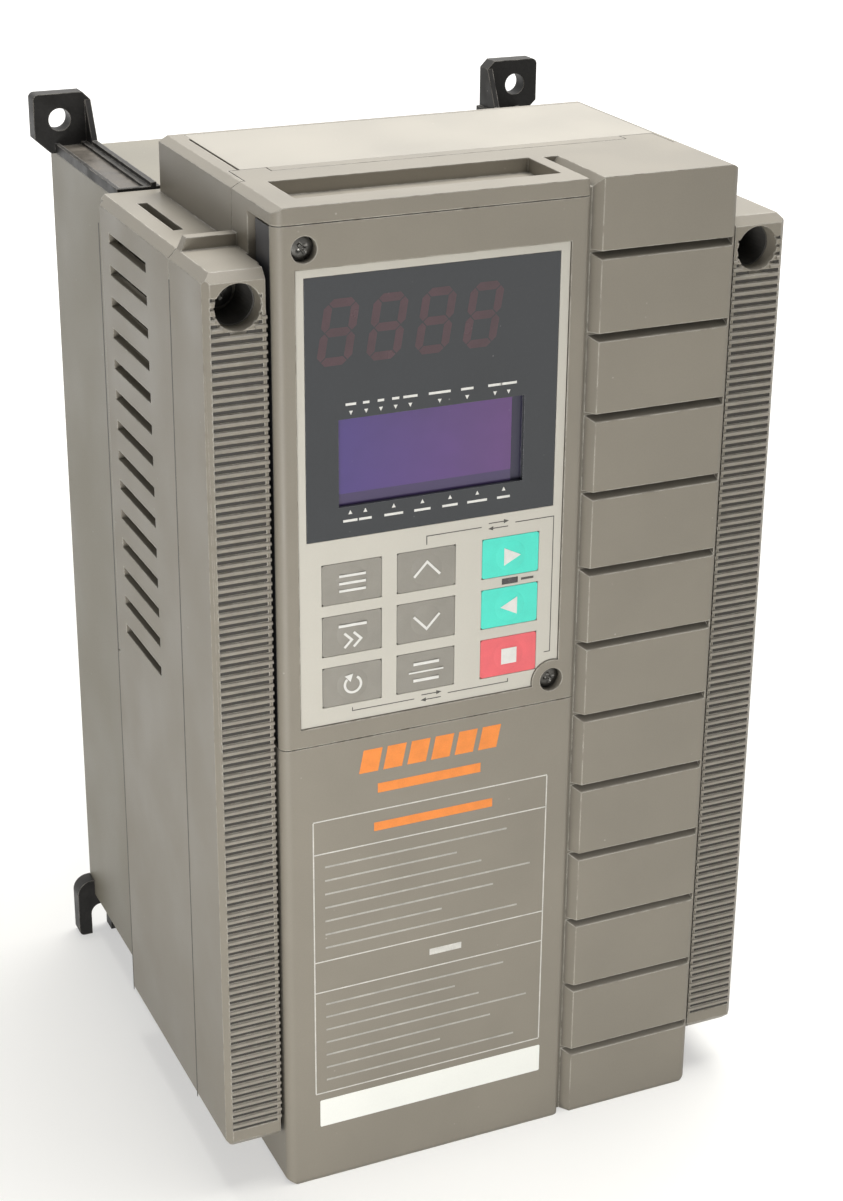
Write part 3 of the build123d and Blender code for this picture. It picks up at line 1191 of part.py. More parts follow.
def key_switches():
    """A push switch on the board behind each key."""
    switches = []
    half = SWITCH_SIZE / 2
    body_front = SWITCH_FRONT + SWITCH_PLUNGER
    for _, x, z in key_places():
        body = centred_block(x, z, half, half, (body_front, KEYPAD_BOARD_DEPTH))
        plunger = SWITCH_PLUNGER_WIDTH / 2
        switches.append(body + centred_block(x, z, plunger, plunger, (SWITCH_FRONT, body_front)))
    return group(switches)


def key(x, z):
    """One key: a plate with a dome, and a flanged stem that reaches its switch."""
    plate = rounded_block(x, z, KEY_WIDTH, KEY_HEIGHT, KEY_CORNER_R, (LABEL_FRONT, KEY_BACK))
    ball_r = (DOME_R ** 2 + DOME_HEIGHT ** 2) / (2 * DOME_HEIGHT)
    ball = Pos(x, y_at(LABEL_FRONT - DOME_HEIGHT + ball_r), z) * Sphere(ball_r)
    dome = ball & peg(x, z, DOME_R, (LABEL_FRONT - 2 * DOME_HEIGHT, KEY_BACK))
    stem = centred_block(x, z, STEM_WIDTH / 2, STEM_WIDTH / 2, (KEY_BACK, STEM_END))
    start = BEZEL_THICKNESS + STEM_FLANGE_GAP
    flange = centred_block(x, z, STEM_FLANGE_WIDTH / 2, STEM_FLANGE_WIDTH / 2, (start, start + STEM_FLANGE))
    return plate + dome + stem + flange


def keypad_connector():
    """The plug on the back of the keypad board."""
    start = KEYPAD_BOARD_DEPTH + BOARD_THICKNESS
    return block((PLUG_LEFT, PLUG_RIGHT), (start, PLUG_REACH), (PLUG_BOTTOM, PLUG_TOP))


def keypad_screws():
    """The two screws that hold the keypad in the cover."""
    front = KEYPAD_SCREW_SEAT - KEYPAD_SCREW_HEAD
    sizes = (KEYPAD_SCREW_HEAD, KEYPAD_SCREW_HEAD_R, KEYPAD_SCREW_R, KEYPAD_SCREW_LENGTH)
    return group([front_screw(x, z, front, *sizes) for x, z in KEYPAD_SCREWS])


# ---- boards
def standoff_places():
    """X and Z of the standoffs between the two boards."""
    x = CONTROL_BOARD_HALF_WIDTH - STANDOFF_INSET
    low, high = CONTROL_BOARD_BOTTOM + 3 * STANDOFF_INSET, CONTROL_BOARD_TOP - 3 * STANDOFF_INSET
    return [(side * x, z) for side in (-1, 1) for z in (low, high)]


def pillar_places():
    """X and Z of the pillars between the power board and the heat sink."""
    x = POWER_BOARD_HALF_WIDTH - STANDOFF_INSET
    low, high = POWER_BOARD_BOTTOM + STANDOFF_INSET, POWER_BOARD_TOP - STANDOFF_INSET
    return [(side * x, z) for side in (-1, 1) for z in (low, high)]


def control_board():
    """The control circuit board behind the front cover."""
    half = CONTROL_BOARD_HALF_WIDTH
    depth = (CONTROL_BOARD_DEPTH, CONTROL_BOARD_BACK)
    return block((-half, half), depth, (CONTROL_BOARD_BOTTOM, CONTROL_BOARD_TOP))


def control_chips():
    """The processor and the other tall parts on the control board."""
    chips = []
    for x, above, width, height, thickness in CHIPS:
        depth = (CONTROL_BOARD_DEPTH - thickness, CONTROL_BOARD_DEPTH)
        chips.append(centred_block(x, CONTROL_BOARD_BOTTOM + above, width / 2, height / 2, depth))
    return group(chips)


def board_standoffs():
    """The standoffs that carry the control board on the power board."""
    depth = (CONTROL_BOARD_BACK, POWER_BOARD_DEPTH)
    return group([hexagon(x, z, STANDOFF_R, depth) for x, z in standoff_places()])


def board_connector():
    """The tall connector that joins the two boards."""
    return block((LINK_LEFT, LINK_RIGHT), (CONTROL_BOARD_BACK, POWER_BOARD_DEPTH), (LINK_BOTTOM, LINK_TOP))


def keypad_socket():
    """The socket on the control board that takes the keypad's plug."""
    gap = SOCKET_MARGIN
    return block((PLUG_LEFT - gap, PLUG_RIGHT + gap), (PLUG_REACH + SOCKET_GAP, CONTROL_BOARD_DEPTH),
                 (PLUG_BOTTOM - gap, PLUG_TOP + gap))


def power_board():
    """The power circuit board."""
    half = POWER_BOARD_HALF_WIDTH
    return block((-half, half), (POWER_BOARD_DEPTH, POWER_BOARD_BACK), (POWER_BOARD_BOTTOM, POWER_BOARD_TOP))


def board_pillars():
    """The pillars that carry the power board on the heat sink."""
    return group([hexagon(x, z, STANDOFF_R, (POWER_BOARD_BACK, SINK_PAD_FRONT)) for x, z in pillar_places()])


# ---- power parts
def power_module(half_width, low, high):
    """A power module: a block with a thin ear at each side for its screw."""
    body = block((-half_width, half_width), (POWER_BOARD_BACK, SINK_PAD_FRONT), (low, high))
    wide = half_width + MODULE_EAR
    quarter = (high - low) / 4
    ears = block((-wide, wide), (SINK_PAD_FRONT - MODULE_EAR_THICKNESS, SINK_PAD_FRONT),
                 (low + quarter, high - quarter))
    return body + ears


def igbt_module():
    """The inverter module, clamped to the heat sink."""
    return power_module(IGBT_HALF_WIDTH, IGBT_BOTTOM, IGBT_TOP)


def rectifier_module():
    """The rectifier module, clamped to the heat sink."""
    return power_module(RECTIFIER_HALF_WIDTH, RECTIFIER_BOTTOM, RECTIFIER_TOP)


def dc_capacitors():
    """The row of smoothing capacitors on the power board."""
    cans = []
    for index in range(CAPACITOR_COUNT):
        x = (index - (CAPACITOR_COUNT - 1) / 2) * CAPACITOR_PITCH
        can = peg(x, CAPACITOR_Z, CAPACITOR_R, (POWER_BOARD_DEPTH - CAPACITOR_LENGTH, POWER_BOARD_DEPTH))
        edge = can.edges().filter_by(GeomType.CIRCLE).sort_by(Axis.Y)[0]
        cans.append(chamfer(edge, CAPACITOR_LIP))
    return group(cans)


def board_part(x, z, width, height, thickness):
    """A block-shaped part on the front of the power board."""
    return block((x - width / 2, x + width / 2), (POWER_BOARD_DEPTH - thickness, POWER_BOARD_DEPTH),
                 (z - height / 2, z + height / 2))


def transformer():
    """The control transformer: a laminated core with a winding round its middle limb."""
    x, z = POWER_BOARD_HALF_WIDTH - TRANSFORMER_SIDE, TALL_PART_Z
    width, height, thickness = TRANSFORMER_SIZE
    core = board_part(x, z, width, height, thickness)
    step = width / 6
    winding = block((x - width / 2 + step, x + width / 2 - step),
                    (POWER_BOARD_DEPTH - thickness - step, POWER_BOARD_DEPTH - thickness),
                    (z - height / 4, z + height / 4))
    return core + winding


def charging_relay():
    """The relay that bridges the charging resistor."""
    return board_part(RELAY_SIDE - POWER_BOARD_HALF_WIDTH, TALL_PART_Z, *RELAY_SIZE)


def current_sensors():
    """The two current sensors, rings that stand on the power board."""
    rings = []
    half = SENSOR_THICKNESS / 2
    for x in (-SENSOR_X, SENSOR_X):
        depth = POWER_BOARD_DEPTH - SENSOR_R
        span = (x - half, x + half)
        ring = rod(depth, SENSOR_Z, SENSOR_R, span)
        ring = ring - rod(depth, SENSOR_Z, SENSOR_BORE_R, (x - SENSOR_R, x + SENSOR_R))
        foot = block(span, (POWER_BOARD_DEPTH - SENSOR_BORE_R, POWER_BOARD_DEPTH),
                     (SENSOR_Z - SENSOR_BORE_R, SENSOR_Z + SENSOR_BORE_R))
        rings.append(ring + foot)
    return group(rings)


# ---- terminals
def main_terminal_block():
    """The power terminal block, with a barrier between each pair of terminals."""
    half = MAIN_BLOCK_HALF_WIDTH
    pitch = 2 * half / MAIN_TERMINALS
    z = (MAIN_BLOCK_BOTTOM, MAIN_BLOCK_TOP)
    body = block((-half, half), (MAIN_BLOCK_FRONT + BARRIER_HEIGHT, POWER_BOARD_DEPTH), z)
    for index in range(MAIN_TERMINALS + 1):
        x = -half + index * pitch
        low, high = max(-half, x - BARRIER / 2), min(half, x + BARRIER / 2)
        body += block((low, high), (MAIN_BLOCK_FRONT, MAIN_BLOCK_FRONT + BARRIER_HEIGHT), z)
    return body


def control_terminal_block():
    """The control terminal block at the lower edge of the control board."""
    left, right = CONTROL_BLOCK_LEFT, CONTROL_BLOCK_RIGHT
    z = (CONTROL_BLOCK_BOTTOM, CONTROL_BLOCK_TOP)
    body = block((left, right), (CONTROL_BLOCK_FRONT, CONTROL_BOARD_DEPTH), z)
    pitch = (right - left) / CONTROL_TERMINALS
    middle = (z[0] + z[1]) / 2
    wells = []
    for index in range(CONTROL_TERMINALS):
        x = left + (index + 1 / 2) * pitch
        wells.append(centred_block(x, middle, CONTROL_TERMINAL_WIDTH / 2, CONTROL_TERMINAL_WIDTH / 2,
                                   (0, CONTROL_BLOCK_FRONT + CONTROL_TERMINAL_DEPTH)))
    return body - wells


# ---- all pieces
def build_pieces():
    """Every piece of the drive by its name."""
    pieces = {
        "front_cover": front_cover(), "cover_screws": cover_screws(), "mid_casing": mid_casing(),
        "top_plate": top_plate(), "gland_plate": gland_plate(), "cable_grommets": cable_grommets(),
        "rear_housing": rear_housing(), "heat_sink": heat_sink(),
        "upper_bracket_left": upper_bracket(), "upper_bracket_right": mirrored(upper_bracket()),
        "lower_bracket_left": lower_bracket(), "lower_bracket_right": mirrored(lower_bracket()),
        "fan_cover": fan_cover(), "fan_frame": fan_frame(),
        "fan_bearings": fan_bearings(), "fan_coil": fan_coil(), "fan_shaft": fan_shaft(),
        "fan_rotor": fan_rotor(), "fan_screws": fan_screws(),
        "keypad_case": keypad_case(), "keypad_back": keypad_back(), "keypad_overlay": keypad_overlay(),
        "display_window": display_window(), "led_display": led_display(), "lcd_module": lcd_module(),
        "run_lamp": run_lamp(), "keypad_board": keypad_board(), "key_switches": key_switches(),
        "keypad_connector": keypad_connector(), "keypad_screws": keypad_screws(),
        "control_board": control_board(), "control_chips": control_chips(),
        "board_standoffs": board_standoffs(),
        "board_connector": board_connector(), "keypad_socket": keypad_socket(),
        "power_board": power_board(), "board_pillars": board_pillars(),
        "igbt_module": igbt_module(), "rectifier_module": rectifier_module(),
        "dc_capacitors": dc_capacitors(), "transformer": transformer(), "charging_relay": charging_relay(),
        "current_sensors": current_sensors(), "main_terminal_block": main_terminal_block(),
        "control_terminal_block": control_terminal_block(),
    }
    for name, x, z in key_places():
        pieces[name] = key(x, z)
    return pieces


os.makedirs("parts", exist_ok=True)
for name, piece in build_pieces().items():
    export_step(piece, f"parts/{name}.step")
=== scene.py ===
"""Looks of a wall-mounted variable frequency drive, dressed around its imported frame.

Lengths are in metres in the frame's own axes: X to the right, Y to the back and Z up.
The front of the drive faces -Y and the drive stands on Z = 0.
"""

import json
import logging
import math
import random
from collections.abc import Iterable
from dataclasses import dataclass, field, replace
from enum import Enum

import bmesh
import bpy
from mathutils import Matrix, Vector

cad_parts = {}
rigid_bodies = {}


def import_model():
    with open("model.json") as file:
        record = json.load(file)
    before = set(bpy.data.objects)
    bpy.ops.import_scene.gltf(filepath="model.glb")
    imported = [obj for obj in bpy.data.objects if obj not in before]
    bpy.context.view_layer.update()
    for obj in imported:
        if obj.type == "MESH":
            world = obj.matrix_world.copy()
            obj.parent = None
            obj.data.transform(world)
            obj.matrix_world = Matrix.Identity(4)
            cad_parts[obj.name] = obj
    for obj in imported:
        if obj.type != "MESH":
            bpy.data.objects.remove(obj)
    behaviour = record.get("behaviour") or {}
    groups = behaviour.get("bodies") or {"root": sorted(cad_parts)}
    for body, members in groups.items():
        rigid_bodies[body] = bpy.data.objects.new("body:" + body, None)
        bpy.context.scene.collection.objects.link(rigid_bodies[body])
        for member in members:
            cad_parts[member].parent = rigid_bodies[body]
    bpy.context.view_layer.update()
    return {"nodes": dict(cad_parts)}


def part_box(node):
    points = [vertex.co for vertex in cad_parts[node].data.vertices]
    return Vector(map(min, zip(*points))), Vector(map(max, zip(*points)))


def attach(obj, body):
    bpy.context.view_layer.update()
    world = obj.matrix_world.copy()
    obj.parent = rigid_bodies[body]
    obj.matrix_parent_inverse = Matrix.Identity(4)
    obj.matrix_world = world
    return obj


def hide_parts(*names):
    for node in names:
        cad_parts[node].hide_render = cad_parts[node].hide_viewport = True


LOG = logging.getLogger("drive_looks")
MM = 0.001
PROUD = 0.03 * MM
WELD = 0.001 * MM
MITRE_LIMIT = 0.35
CORNER_STEPS = 5
TINY = 1e-9

Colour = tuple[float, float, float]
Point = tuple[float, float]
Triple = tuple[float, float, float]
Box = tuple[Vector, Vector]
Socket = bpy.types.NodeSocket
Vert = bmesh.types.BMVert


# ---------------------------------------------------------------- finishes


@dataclass(frozen=True)
class Finish:
    """How one material looks: its colour, its gloss, its grain, its wear, and the shade and edge highlights
    painted into it.

    Colours are linear, lengths are metres, and every share runs from 0 to 1.
    """

    name: str
    colour: Colour
    worn: Colour = (0.6, 0.58, 0.54)
    roughness: float = 0.5
    roughness_spread: float = 0.08
    metallic: float = 0.0
    specular: float = 0.5
    coat: float = 0.0
    coat_roughness: float = 0.1
    mottle: float = 0.05
    mottle_size: float = 22 * MM
    stretch: Triple = (1.0, 1.0, 1.0)
    grain: float = 0.35 * MM
    grain_height: float = 0.02 * MM
    edge_radius: float = 0.35 * MM
    # Lightens the edges: rubbed wear, and a painted highlight along them.
    edge_wear_and_highlight: float = 0.35
    specks: float = 0.25
    speck_spacing: float = 7 * MM
    scratches: float = 0.0
    # Painted shade with some soiling, which darkens corners, grooves and bores by their ambient occlusion.
    dust: float = 0.0
    shade_and_grime: float = 0.0
    fade: Colour | None = None
    fade_span: Point = (0.0, 1.0)


class Graph:
    """The node tree of one material, with short calls that add and link nodes."""

    MIX_FIRST, MIX_SECOND, MIX_RESULT = 6, 7, 2

    def __init__(self, name: str) -> None:
        """Starts an empty tree.

        Args:
            name: The material's name.
        """
        self.material = bpy.data.materials.new(name)
        self.material.use_nodes = True
        self.tree = self.material.node_tree
        self.tree.nodes.clear()

    @classmethod
    def of(cls, tree: bpy.types.NodeTree) -> "Graph":
        """Wraps a tree that already exists, such as a world's, and empties it.

        Args:
            tree: The tree to use.

        Returns:
            Its wrapper.
        """
        graph = cls.__new__(cls)
        graph.tree = tree
        graph.tree.nodes.clear()
        return graph

    def add(self, kind: str, settings: dict | None = None, **inputs: object) -> bpy.types.Node:
        """Adds a node, sets its options and links or fills its inputs.

        Args:
            kind: The node's type, without the leading ShaderNode.
            settings: Options of the node itself.
            **inputs: Input sockets by name, with underscores for spaces.

        Returns:
            The new node.
        """
        node = self.tree.nodes.new("ShaderNode" + kind)
        for key, value in (settings or {}).items():
            setattr(node, key, value)
        for key, value in inputs.items():
            self.feed(node.inputs[key.replace("_", " ")], value)
        return node

    def feed(self, socket: Socket, value: object) -> None:
        """Links a socket to another one, or sets its constant.

        Args:
            socket: The input to fill.
            value: An output socket, a number or a colour.
        """
        if isinstance(value, bpy.types.NodeSocket):
            self.tree.links.new(value, socket)
        elif isinstance(value, tuple) and socket.type == "RGBA":
            socket.default_value = (*value, 1.0)
        else:
            socket.default_value = value

    def math(self, operation: str, first: object, second: object, clamped: bool = True) -> Socket:
        """Works out one operation on two numbers.

        Args:
            operation: Blender's name for the operation.
            first: The first number or socket.
            second: The second number or socket.
            clamped: Whether the result is kept between 0 and 1.

        Returns:
            The result's socket.
        """
        node = self.add("Math", {"operation": operation, "use_clamp": clamped})
        self.feed(node.inputs[0], first)
        self.feed(node.inputs[1], second)
        return node.outputs[0]

    def noise(self, coordinates: Socket, size: float, detail: float = 3.0) -> Socket:
        """Adds a soft noise whose spots are about one size across.

        Args:
            coordinates: Where to read it.
            size: The width of a spot in metres.
            detail: How many finer layers it has.

        Returns:
            A value from 0 to 1.
        """
        node = self.add("TexNoise", Vector=coordinates, Scale=1 / size, Detail=detail)
        return node.outputs[0]

    def span(self, value: Socket, low: float, high: float, start: float, end: float) -> Socket:
        """Maps a range of a value onto another range, clamped.

        Args:
            value: The value to map.
            low: The value that gives start.
            high: The value that gives end.
            start: The first result.
            end: The last result.

        Returns:
            The mapped value.
        """
        node = self.add("MapRange", {"clamp": True}, Value=value)
        for key, number in (("From Min", low), ("From Max", high), ("To Min", start), ("To Max", end)):
            node.inputs[key].default_value = number
        return node.outputs[0]

    def blend(self, share: object, first: object, second: object) -> Socket:
        """Mixes two colours.

        Args:
            share: How much of the second colour shows.
            first: The colour at 0.
            second: The colour at 1.

        Returns:
            The mixed colour.
        """
        node = self.add("Mix", {"data_type": "RGBA"})
        self.feed(node.inputs[0], share)
        self.feed(node.inputs[self.MIX_FIRST], first)
        self.feed(node.inputs[self.MIX_SECOND], second)
        return node.outputs[self.MIX_RESULT]


@dataclass
class Paintbox:
    """Makes each finish's material once and hands it out.

    A pair called patches or span holds the two values that a noise, an angle or a
    distance is read between. A least is the share that stays where the noise is low.
    """

    made: dict[str, bpy.types.Material] = field(default_factory=dict)
    noise_span: Point = (0.3, 0.7)
    grain_detail: float = 2.0
    patch_size: float = 3.1 * MM
    patch_detail: float = 4.0
    bevel_samples: int = 4
    # The painted shade in corners, grooves and bores, read from ambient occlusion, with some soiling.
    corner_samples: int = 6
    corner_reach: float = 2.4 * MM
    corner_span: Point = (0.72, 0.26)
    shade_grime_patches: Point = (0.2, 0.6)
    shade_grime_least: float = 0.5
    shade_grime_tone: float = 0.2
    dust_colour: Colour = (0.62, 0.59, 0.53)
    upward_span: Point = (0.4, 1.0)
    dust_patches: Point = (0.25, 0.65)
    dust_least: float = 0.4
    scratch_turn: Triple = (0.5, 0.6, 0.3)
    scratch_stretch: Triple = (1.0, 1.0, 0.09)
    scratch_cell: float = 6 * MM
    scratch_span: Point = (0.006, 0.016)
    scratch_patch_size: float = 9 * MM
    scratch_patches: Point = (0.54, 0.62)
    speck_span: Point = (0.02, 0.045)
    speck_patches: Point = (0.45, 0.6)
    # Where edges turn lighter: rubbed wear and a painted highlight.
    edge_span: Point = (0.992, 0.90)
    edge_patches: Point = (0.34, 0.56)

    def material(self, finish: Finish) -> bpy.types.Material:
        """Gives the material of a finish, and makes it the first time.

        Args:
            finish: The finish that is wanted.

        Returns:
            Its material.
        """
        if finish.name not in self.made:
            self.made[finish.name] = self._make(finish)
        return self.made[finish.name]

    def _make(self, finish: Finish) -> bpy.types.Material:
        """Builds the node tree of a solid finish.

        Args:
            finish: The finish to build.

        Returns:
            The finished material.
        """
        graph = Graph(finish.name)
        place = graph.add("TexCoord").outputs["Object"]
        stretched = graph.add("Mapping", Vector=place, Scale=Vector(finish.stretch)).outputs[0]
        broad = graph.noise(stretched, finish.mottle_size)
        fine = graph.noise(stretched, finish.grain, self.grain_detail)
        patches = graph.noise(place, self.patch_size, self.patch_detail)
        rounded = graph.add("NewGeometry").outputs["Normal"]
        if finish.edge_radius:
            rounded = graph.add("Bevel", {"samples": self.bevel_samples},
                                Radius=finish.edge_radius).outputs[0]
        colour = self._mottled(graph, finish, broad, fine)
        # Painted shade in corners, grooves and bores, with some soiling.
        if finish.shade_and_grime:
            colour = self._shaded_and_grimed(graph, finish, colour, broad)
        if finish.dust:
            colour = self._dusted(graph, finish, colour, broad)
        if finish.scratches:
            colour = self._scratched(graph, finish, colour, place)
        if finish.specks:
            colour = self._specked(graph, finish, colour, place, patches)
        # Lighter edges: rubbed wear and a painted highlight.
        if finish.edge_wear_and_highlight and finish.edge_radius:
            colour = self._rubbed_and_highlighted(graph, finish, colour, rounded, patches)
        rough = graph.span(broad, *self.noise_span, finish.roughness - finish.roughness_spread,
                           finish.roughness + finish.roughness_spread)
        bump = graph.add("Bump", Height=fine, Distance=finish.grain_height, Strength=1.0, Normal=rounded)
        shader = graph.add("BsdfPrincipled", Base_Color=colour, Roughness=rough, Metallic=finish.metallic,
                           Specular_IOR_Level=finish.specular, Coat_Weight=finish.coat,
                           Coat_Roughness=finish.coat_roughness, Normal=bump.outputs[0])
        graph.add("OutputMaterial", Surface=shader.outputs[0])
        return graph.material

    def _mottled(self, graph: Graph, finish: Finish, broad: Socket, fine: Socket) -> Socket:
        """Varies the base colour in broad soft patches and in its grain.

        Args:
            graph: The material's tree.
            finish: The finish being built.
            broad: The broad noise.
            fine: The grain's noise.

        Returns:
            The colour.
        """
        value = graph.span(broad, *self.noise_span, 1 - finish.mottle, 1 + finish.mottle)
        grain = graph.span(fine, *self.noise_span, 1 - finish.mottle / 2, 1 + finish.mottle / 2)
        both = graph.math("MULTIPLY", value, grain, clamped=False)
        base = finish.colour
        if finish.fade:
            place = graph.add("TexCoord").outputs["Object"]
            across = graph.add("SeparateXYZ", Vector=place).outputs[0]
            base = graph.blend(graph.span(across, *finish.fade_span, 0.0, 1.0), base, finish.fade)
        return graph.add("HueSaturation", Value=both, Color=base).outputs[0]

    def _shaded_and_grimed(self, graph: Graph, finish: Finish, colour: Socket, broad: Socket) -> Socket:
        """Paints shade into corners, grooves and bores by their ambient occlusion, in broad patches, with
        some soiling.

        Args:
            graph: The material's tree.
            finish: The finish being built.
            colour: The colour so far.
            broad: The broad noise.

        Returns:
            The colour.
        """
        open_share = graph.add("AmbientOcclusion", {"samples": self.corner_samples},
                               Distance=self.corner_reach).outputs["AO"]
        deep = graph.span(open_share, *self.corner_span, 0.0, finish.shade_and_grime)
        share = graph.math("MULTIPLY", deep, graph.span(broad, *self.shade_grime_patches, self.shade_grime_least, 1.0))
        dark = tuple(channel * self.shade_grime_tone for channel in finish.colour)
        return graph.blend(share, colour, dark)

    def _dusted(self, graph: Graph, finish: Finish, colour: Socket, broad: Socket) -> Socket:
        """Lays pale dust on what faces up.

        Args:
            graph: The material's tree.
            finish: The finish being built.
            colour: The colour so far.
            broad: The broad noise.

        Returns:
            The colour.
        """
        normal = graph.add("NewGeometry").outputs["Normal"]
        upward = graph.add("SeparateXYZ", Vector=normal).outputs[2]
        share = graph.math("MULTIPLY", graph.span(upward, *self.upward_span, 0.0, finish.dust),
                           graph.span(broad, *self.dust_patches, self.dust_least, 1.0))
        return graph.blend(share, colour, self.dust_colour)

    def _scratched(self, graph: Graph, finish: Finish, colour: Socket, place: Socket) -> Socket:
        """Draws a few short hairline scratches that run mostly one way.

        Args:
            graph: The material's tree.
            finish: The finish being built.
            colour: The colour so far.
            place: The object's own coordinates.

        Returns:
            The colour.
        """
        tilted = graph.add("Mapping", Vector=place, Rotation=Vector(self.scratch_turn),
                           Scale=Vector(self.scratch_stretch)).outputs[0]
        cells = graph.add("TexVoronoi", Vector=tilted, Scale=1 / self.scratch_cell)
        line = graph.span(cells.outputs[0], *self.scratch_span, 1.0, 0.0)
        gate = graph.span(graph.noise(place, self.scratch_patch_size, 1.0), *self.scratch_patches,
                          0.0, finish.scratches)
        return graph.blend(graph.math("MULTIPLY", line, gate), colour, finish.worn)

    def _specked(self, graph: Graph, finish: Finish, colour: Socket, place: Socket,
                 patches: Socket) -> Socket:
        """Scatters small pale nicks.

        Args:
            graph: The material's tree.
            finish: The finish being built.
            colour: The colour so far.
            place: The object's own coordinates.
            patches: The noise that gathers the wear.

        Returns:
            The colour.
        """
        cells = graph.add("TexVoronoi", Vector=place, Scale=1 / finish.speck_spacing)
        dot = graph.span(cells.outputs[0], *self.speck_span, 1.0, 0.0)
        share = graph.math("MULTIPLY", dot, graph.span(patches, *self.speck_patches, 0.0, finish.specks))
        return graph.blend(share, colour, finish.worn)

    def _rubbed_and_highlighted(self, graph: Graph, finish: Finish, colour: Socket, rounded: Socket,
                patches: Socket) -> Socket:
        """Lightens edges, as rubbed wear and as a painted highlight.

        Args:
            graph: The material's tree.
            finish: The finish being built.
            colour: The colour so far.
            rounded: The normal with its edges rounded.
            patches: The noise that gathers the wear.

        Returns:
            The colour.
        """
        normal = graph.add("NewGeometry").outputs["Normal"]
        turn = graph.add("VectorMath", {"operation": "DOT_PRODUCT"})
        graph.feed(turn.inputs[0], rounded)
        graph.feed(turn.inputs[1], normal)
        edge = graph.span(turn.outputs["Value"], *self.edge_span, 0.0, 1.0)
        share = graph.math("MULTIPLY", edge, graph.span(patches, *self.edge_patches, 0.0, finish.edge_wear_and_highlight))
        return graph.blend(share, colour, finish.worn)


# The body gets painted shade in its corners, grooves and bores and a painted highlight along its edges,
# besides its wear.
BODY = Finish("taupe_moulding", (0.252, 0.228, 0.186), worn=(0.60, 0.57, 0.50), roughness=0.44,
              specular=0.35, mottle=0.045, grain_height=0.018 * MM, edge_radius=0.45 * MM,
              edge_wear_and_highlight=0.9, specks=0.4, shade_and_grime=0.9, scratches=0.2, dust=0.12)
# The casing gets less painted shade, so its slots stay lighter.
CASING = replace(BODY, name="casing_moulding", shade_and_grime=0.3)
# A lighter, glossier copy of the body for the ribs: rubbed wear, and a painted highlight where the ribs catch
# the light.
RIB_WEAR_AND_HIGHLIGHT = replace(BODY, name="rubbed_ribs_painted_highlight", colour=(0.275, 0.250, 0.207), roughness=0.36, specular=0.5,
              edge_radius=0.0, mottle=0.08, mottle_size=3 * MM, specks=0.8, speck_spacing=5 * MM)
HOUSING = Finish("rear_moulding", (0.248, 0.228, 0.182), worn=(0.64, 0.62, 0.56), roughness=0.46,
                 specular=0.35, mottle=0.06, mottle_size=34 * MM, edge_wear_and_highlight=0.5, specks=0.6,
                 scratches=0.7, dust=0.1)
CREAM = Finish("cream_moulding", (0.36, 0.335, 0.285), worn=(0.66, 0.64, 0.58), roughness=0.48,
               mottle=0.04, edge_wear_and_highlight=0.3, specks=0.4, dust=0.12)
LABEL = Finish("printed_label", (0.56, 0.535, 0.47), worn=(0.72, 0.7, 0.64), roughness=0.42,
               mottle=0.02, grain=0.5 * MM, grain_height=0.006 * MM, edge_radius=0.08 * MM,
               edge_wear_and_highlight=0.2, specks=0.15)
DARK = Finish("dark_moulding", (0.030, 0.030, 0.032), worn=(0.16, 0.16, 0.15), roughness=0.5,
              mottle=0.1, edge_wear_and_highlight=0.4, specks=0.3, dust=0.35)
BLACK = Finish("black_moulding", (0.026, 0.025, 0.024), worn=(0.46, 0.43, 0.38), roughness=0.44,
               roughness_spread=0.1, specular=0.14, mottle=0.2, mottle_size=6 * MM, grain=0.7 * MM,
               grain_height=0.035 * MM, edge_radius=0.4 * MM, edge_wear_and_highlight=0.8, specks=1.0,
               speck_spacing=6 * MM, scratches=0.9, dust=0.06)
# Dust and a painted reflection: a brown film lighter than the black tray floors.
TRAY_DUST_AND_REFLECTION = Finish("tray_floor_dust_and_reflection", (0.105, 0.092, 0.076), worn=(0.30, 0.28, 0.25), roughness=0.4,
                   mottle=0.3, mottle_size=5 * MM, grain=0.6 * MM, grain_height=0.03 * MM, edge_radius=0.0,
                   specks=0.8, speck_spacing=3 * MM)
# Painted shade: the dark lining inside the cover's screw bores.
BORE_SHADE = Finish("painted_bore_shade", (0.060, 0.057, 0.052), worn=(0.16, 0.15, 0.14), roughness=0.6, mottle=0.15,
              mottle_size=4 * MM, edge_radius=0.0, specks=0.2)
# Painted shade: a dark film laid at the bottom of each rib groove.
GROOVE_SHADE = Finish("groove_dirt", (0.040, 0.036, 0.031), worn=(0.2, 0.18, 0.16), roughness=0.7, mottle=0.2,
                mottle_size=4 * MM, edge_radius=0.0, specks=0.3, speck_spacing=4 * MM)
RUBBER = Finish("black_rubber", (0.016, 0.016, 0.016), worn=(0.09, 0.09, 0.085), roughness=0.72,
                mottle=0.12, grain=0.25 * MM, grain_height=0.03 * MM, edge_wear_and_highlight=0.3, dust=0.3)
WINDOW = Finish("smoked_pane", (0.028, 0.031, 0.035), worn=(0.42, 0.42, 0.42), roughness=0.16,
                roughness_spread=0.05, mottle=0.05, grain=0.9 * MM, grain_height=0.001 * MM,
                edge_radius=0.15 * MM, edge_wear_and_highlight=0.3, specks=0.3, speck_spacing=6 * MM)
DIGIT = Finish("unlit_segment", (0.068, 0.036, 0.042), roughness=0.2, mottle=0.12, mottle_size=5 * MM,
               grain_height=0.001 * MM, edge_radius=0.0, specks=0.0)
LCD = Finish("purple_display", (0.062, 0.034, 0.185), worn=(0.3, 0.24, 0.4), roughness=0.22,
             fade=(0.105, 0.038, 0.165), fade_span=(-42 * MM, 2 * MM), coat=0.3, mottle=0.07,
             mottle_size=25 * MM, grain=6 * MM, grain_height=0.0, edge_radius=0.0, specks=0.35,
             speck_spacing=6 * MM)
